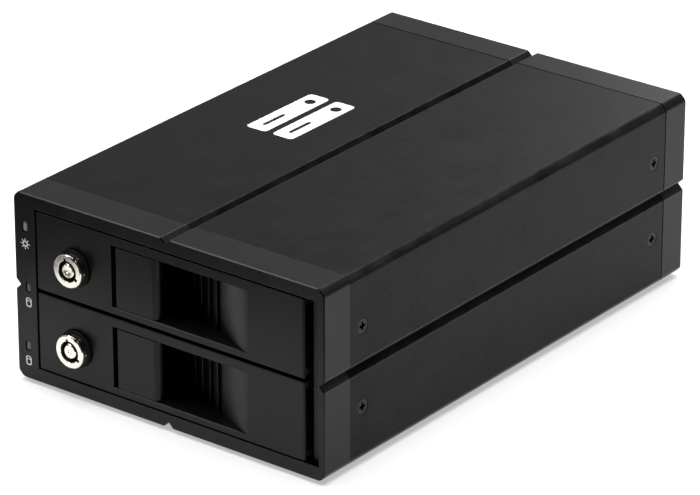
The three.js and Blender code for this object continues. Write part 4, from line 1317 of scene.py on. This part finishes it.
# ---------------------------------------------------------------- studio
VIEW = {"azimuth": 37.63, "elevation": 24.38, "distance": 1.6059, "lens": 235.3}  # degrees, metres, and mm
SHIFT = {"across": -0.0027, "up": -0.0053}  # metres that the camera is moved sideways and up
CENTRE = TO_FRAME @ Vector((0, CASE["depth"] / 2, MID_Z))
WHITE = (1, 1, 1, 1)


def aim(o, place, toward):
    """Puts a camera or a light at a place, turned so that it looks along a direction."""
    o.location = place
    o.rotation_mode = "QUATERNION"
    o.rotation_quaternion = toward.to_track_quat("-Z", "Y")


def make_camera():
    a, e = math.radians(VIEW["azimuth"]), math.radians(VIEW["elevation"])
    back = Vector((math.sin(a) * math.cos(e), -math.cos(a) * math.cos(e), math.sin(e)))
    across = Vector((math.cos(a), math.sin(a), 0))
    up = back.cross(across)
    data = bpy.data.cameras.new("camera")
    data.lens = VIEW["lens"]
    data.sensor_width = 36
    data.clip_start, data.clip_end = 0.05, 50
    camera = in_scene("camera", data)
    aim(camera, CENTRE + back * VIEW["distance"] + across * SHIFT["across"] + up * SHIFT["up"], -back)
    bpy.context.scene.camera = camera


def make_floor():
    """A pale floor in two parts. Only the rear one lights the case and is mirrored in it. The line between
    them sets how far in front of the case the doors still mirror a bright floor."""
    left, right, rear, front = -1.0, 1.2, 1.4, -1.4
    edge = [(left, -0.15), (-0.125, -0.155), (-0.112, -0.197), (-0.097, -0.197), (-0.088, -0.168)]
    edge += [(-0.03, -0.213), (0.09, -0.222), (0.13, -0.15), (right, -0.15)]
    material = bpy.data.materials.new("pale_floor")
    n = Nodes(material)
    n.set(n.tree.nodes["Principled BSDF"], {
        "Base Color": (0.55, 0.55, 0.55, 1),
        "Emission Color": WHITE,
        "Emission Strength": 0.45,
        "Roughness": 0.9,
        "Specular IOR Level": 0.0,
    })
    for name, outline, mirrored in (
        ("floor", [*edge, (right, rear), (left, rear)], True),
        ("floor_front", [(left, front), (right, front), *reversed(edge)], False),
    ):
        mesh = bpy.data.meshes.new(name)
        mesh.from_pydata([(x, y, 0) for x, y in outline], [], [tuple(range(len(outline)))])
        mesh.materials.append(material)
        floor = in_scene(name, mesh)
        floor.visible_glossy = mirrored
        floor.visible_diffuse = mirrored


def softbox(name, place, target, width, height, power):
    data = bpy.data.lights.new(name, "AREA")
    data.shape = "RECTANGLE"
    data.size, data.size_y = width, height
    data.energy = power
    aim(in_scene(name, data), place, Vector(target) - Vector(place))


def make_world():
    """A white backdrop, and a dim room that is brightest behind the case on its left."""
    world = bpy.data.worlds.new("studio")
    bpy.context.scene.world = world
    n = Nodes(world)
    place = n.add("TexCoord", {}, "Generated")
    brightest = Vector((-0.6, 0.8, 0.2)).normalized()
    toward = n.add("VectorMath", {0: place, 1: brightest}, "Value", operation="DOT_PRODUCT")
    ends = {"From Min": -0.6, "From Max": 0.7, "To Min": 0.03, "To Max": 0.42}
    fade = n.add("MapRange", {"Value": toward, **ends}, "Result", interpolation_type="SMOOTHSTEP")
    room = n.tree.nodes["Background"]
    n.set(room, {"Color": WHITE, "Strength": fade})
    backdrop = n.add("Background", {"Color": WHITE, "Strength": 1.0}, "Background")
    seen = n.add("LightPath", {}, "Is Camera Ray")
    mix = n.add("MixShader", {0: seen, 1: room.outputs["Background"], 2: backdrop}, "Shader")
    n.set(n.tree.nodes["World Output"], {"Surface": mix})


bpy.context.scene.view_settings.view_transform = "Standard"
make_camera()
make_floor()
make_world()
softbox("overhead", (0.0, 0.1, 1.6), (0, 0, 0), 1.7, 1.7, 52)
softbox("front_left", (-1.0, -0.85, 1.35), (0, 0, 0.03), 0.4, 0.4, 7)
softbox("back", (-0.35, 1.25, 0.55), (0.05, 0.1, 0.05), 0.5, 0.35, 2.5)
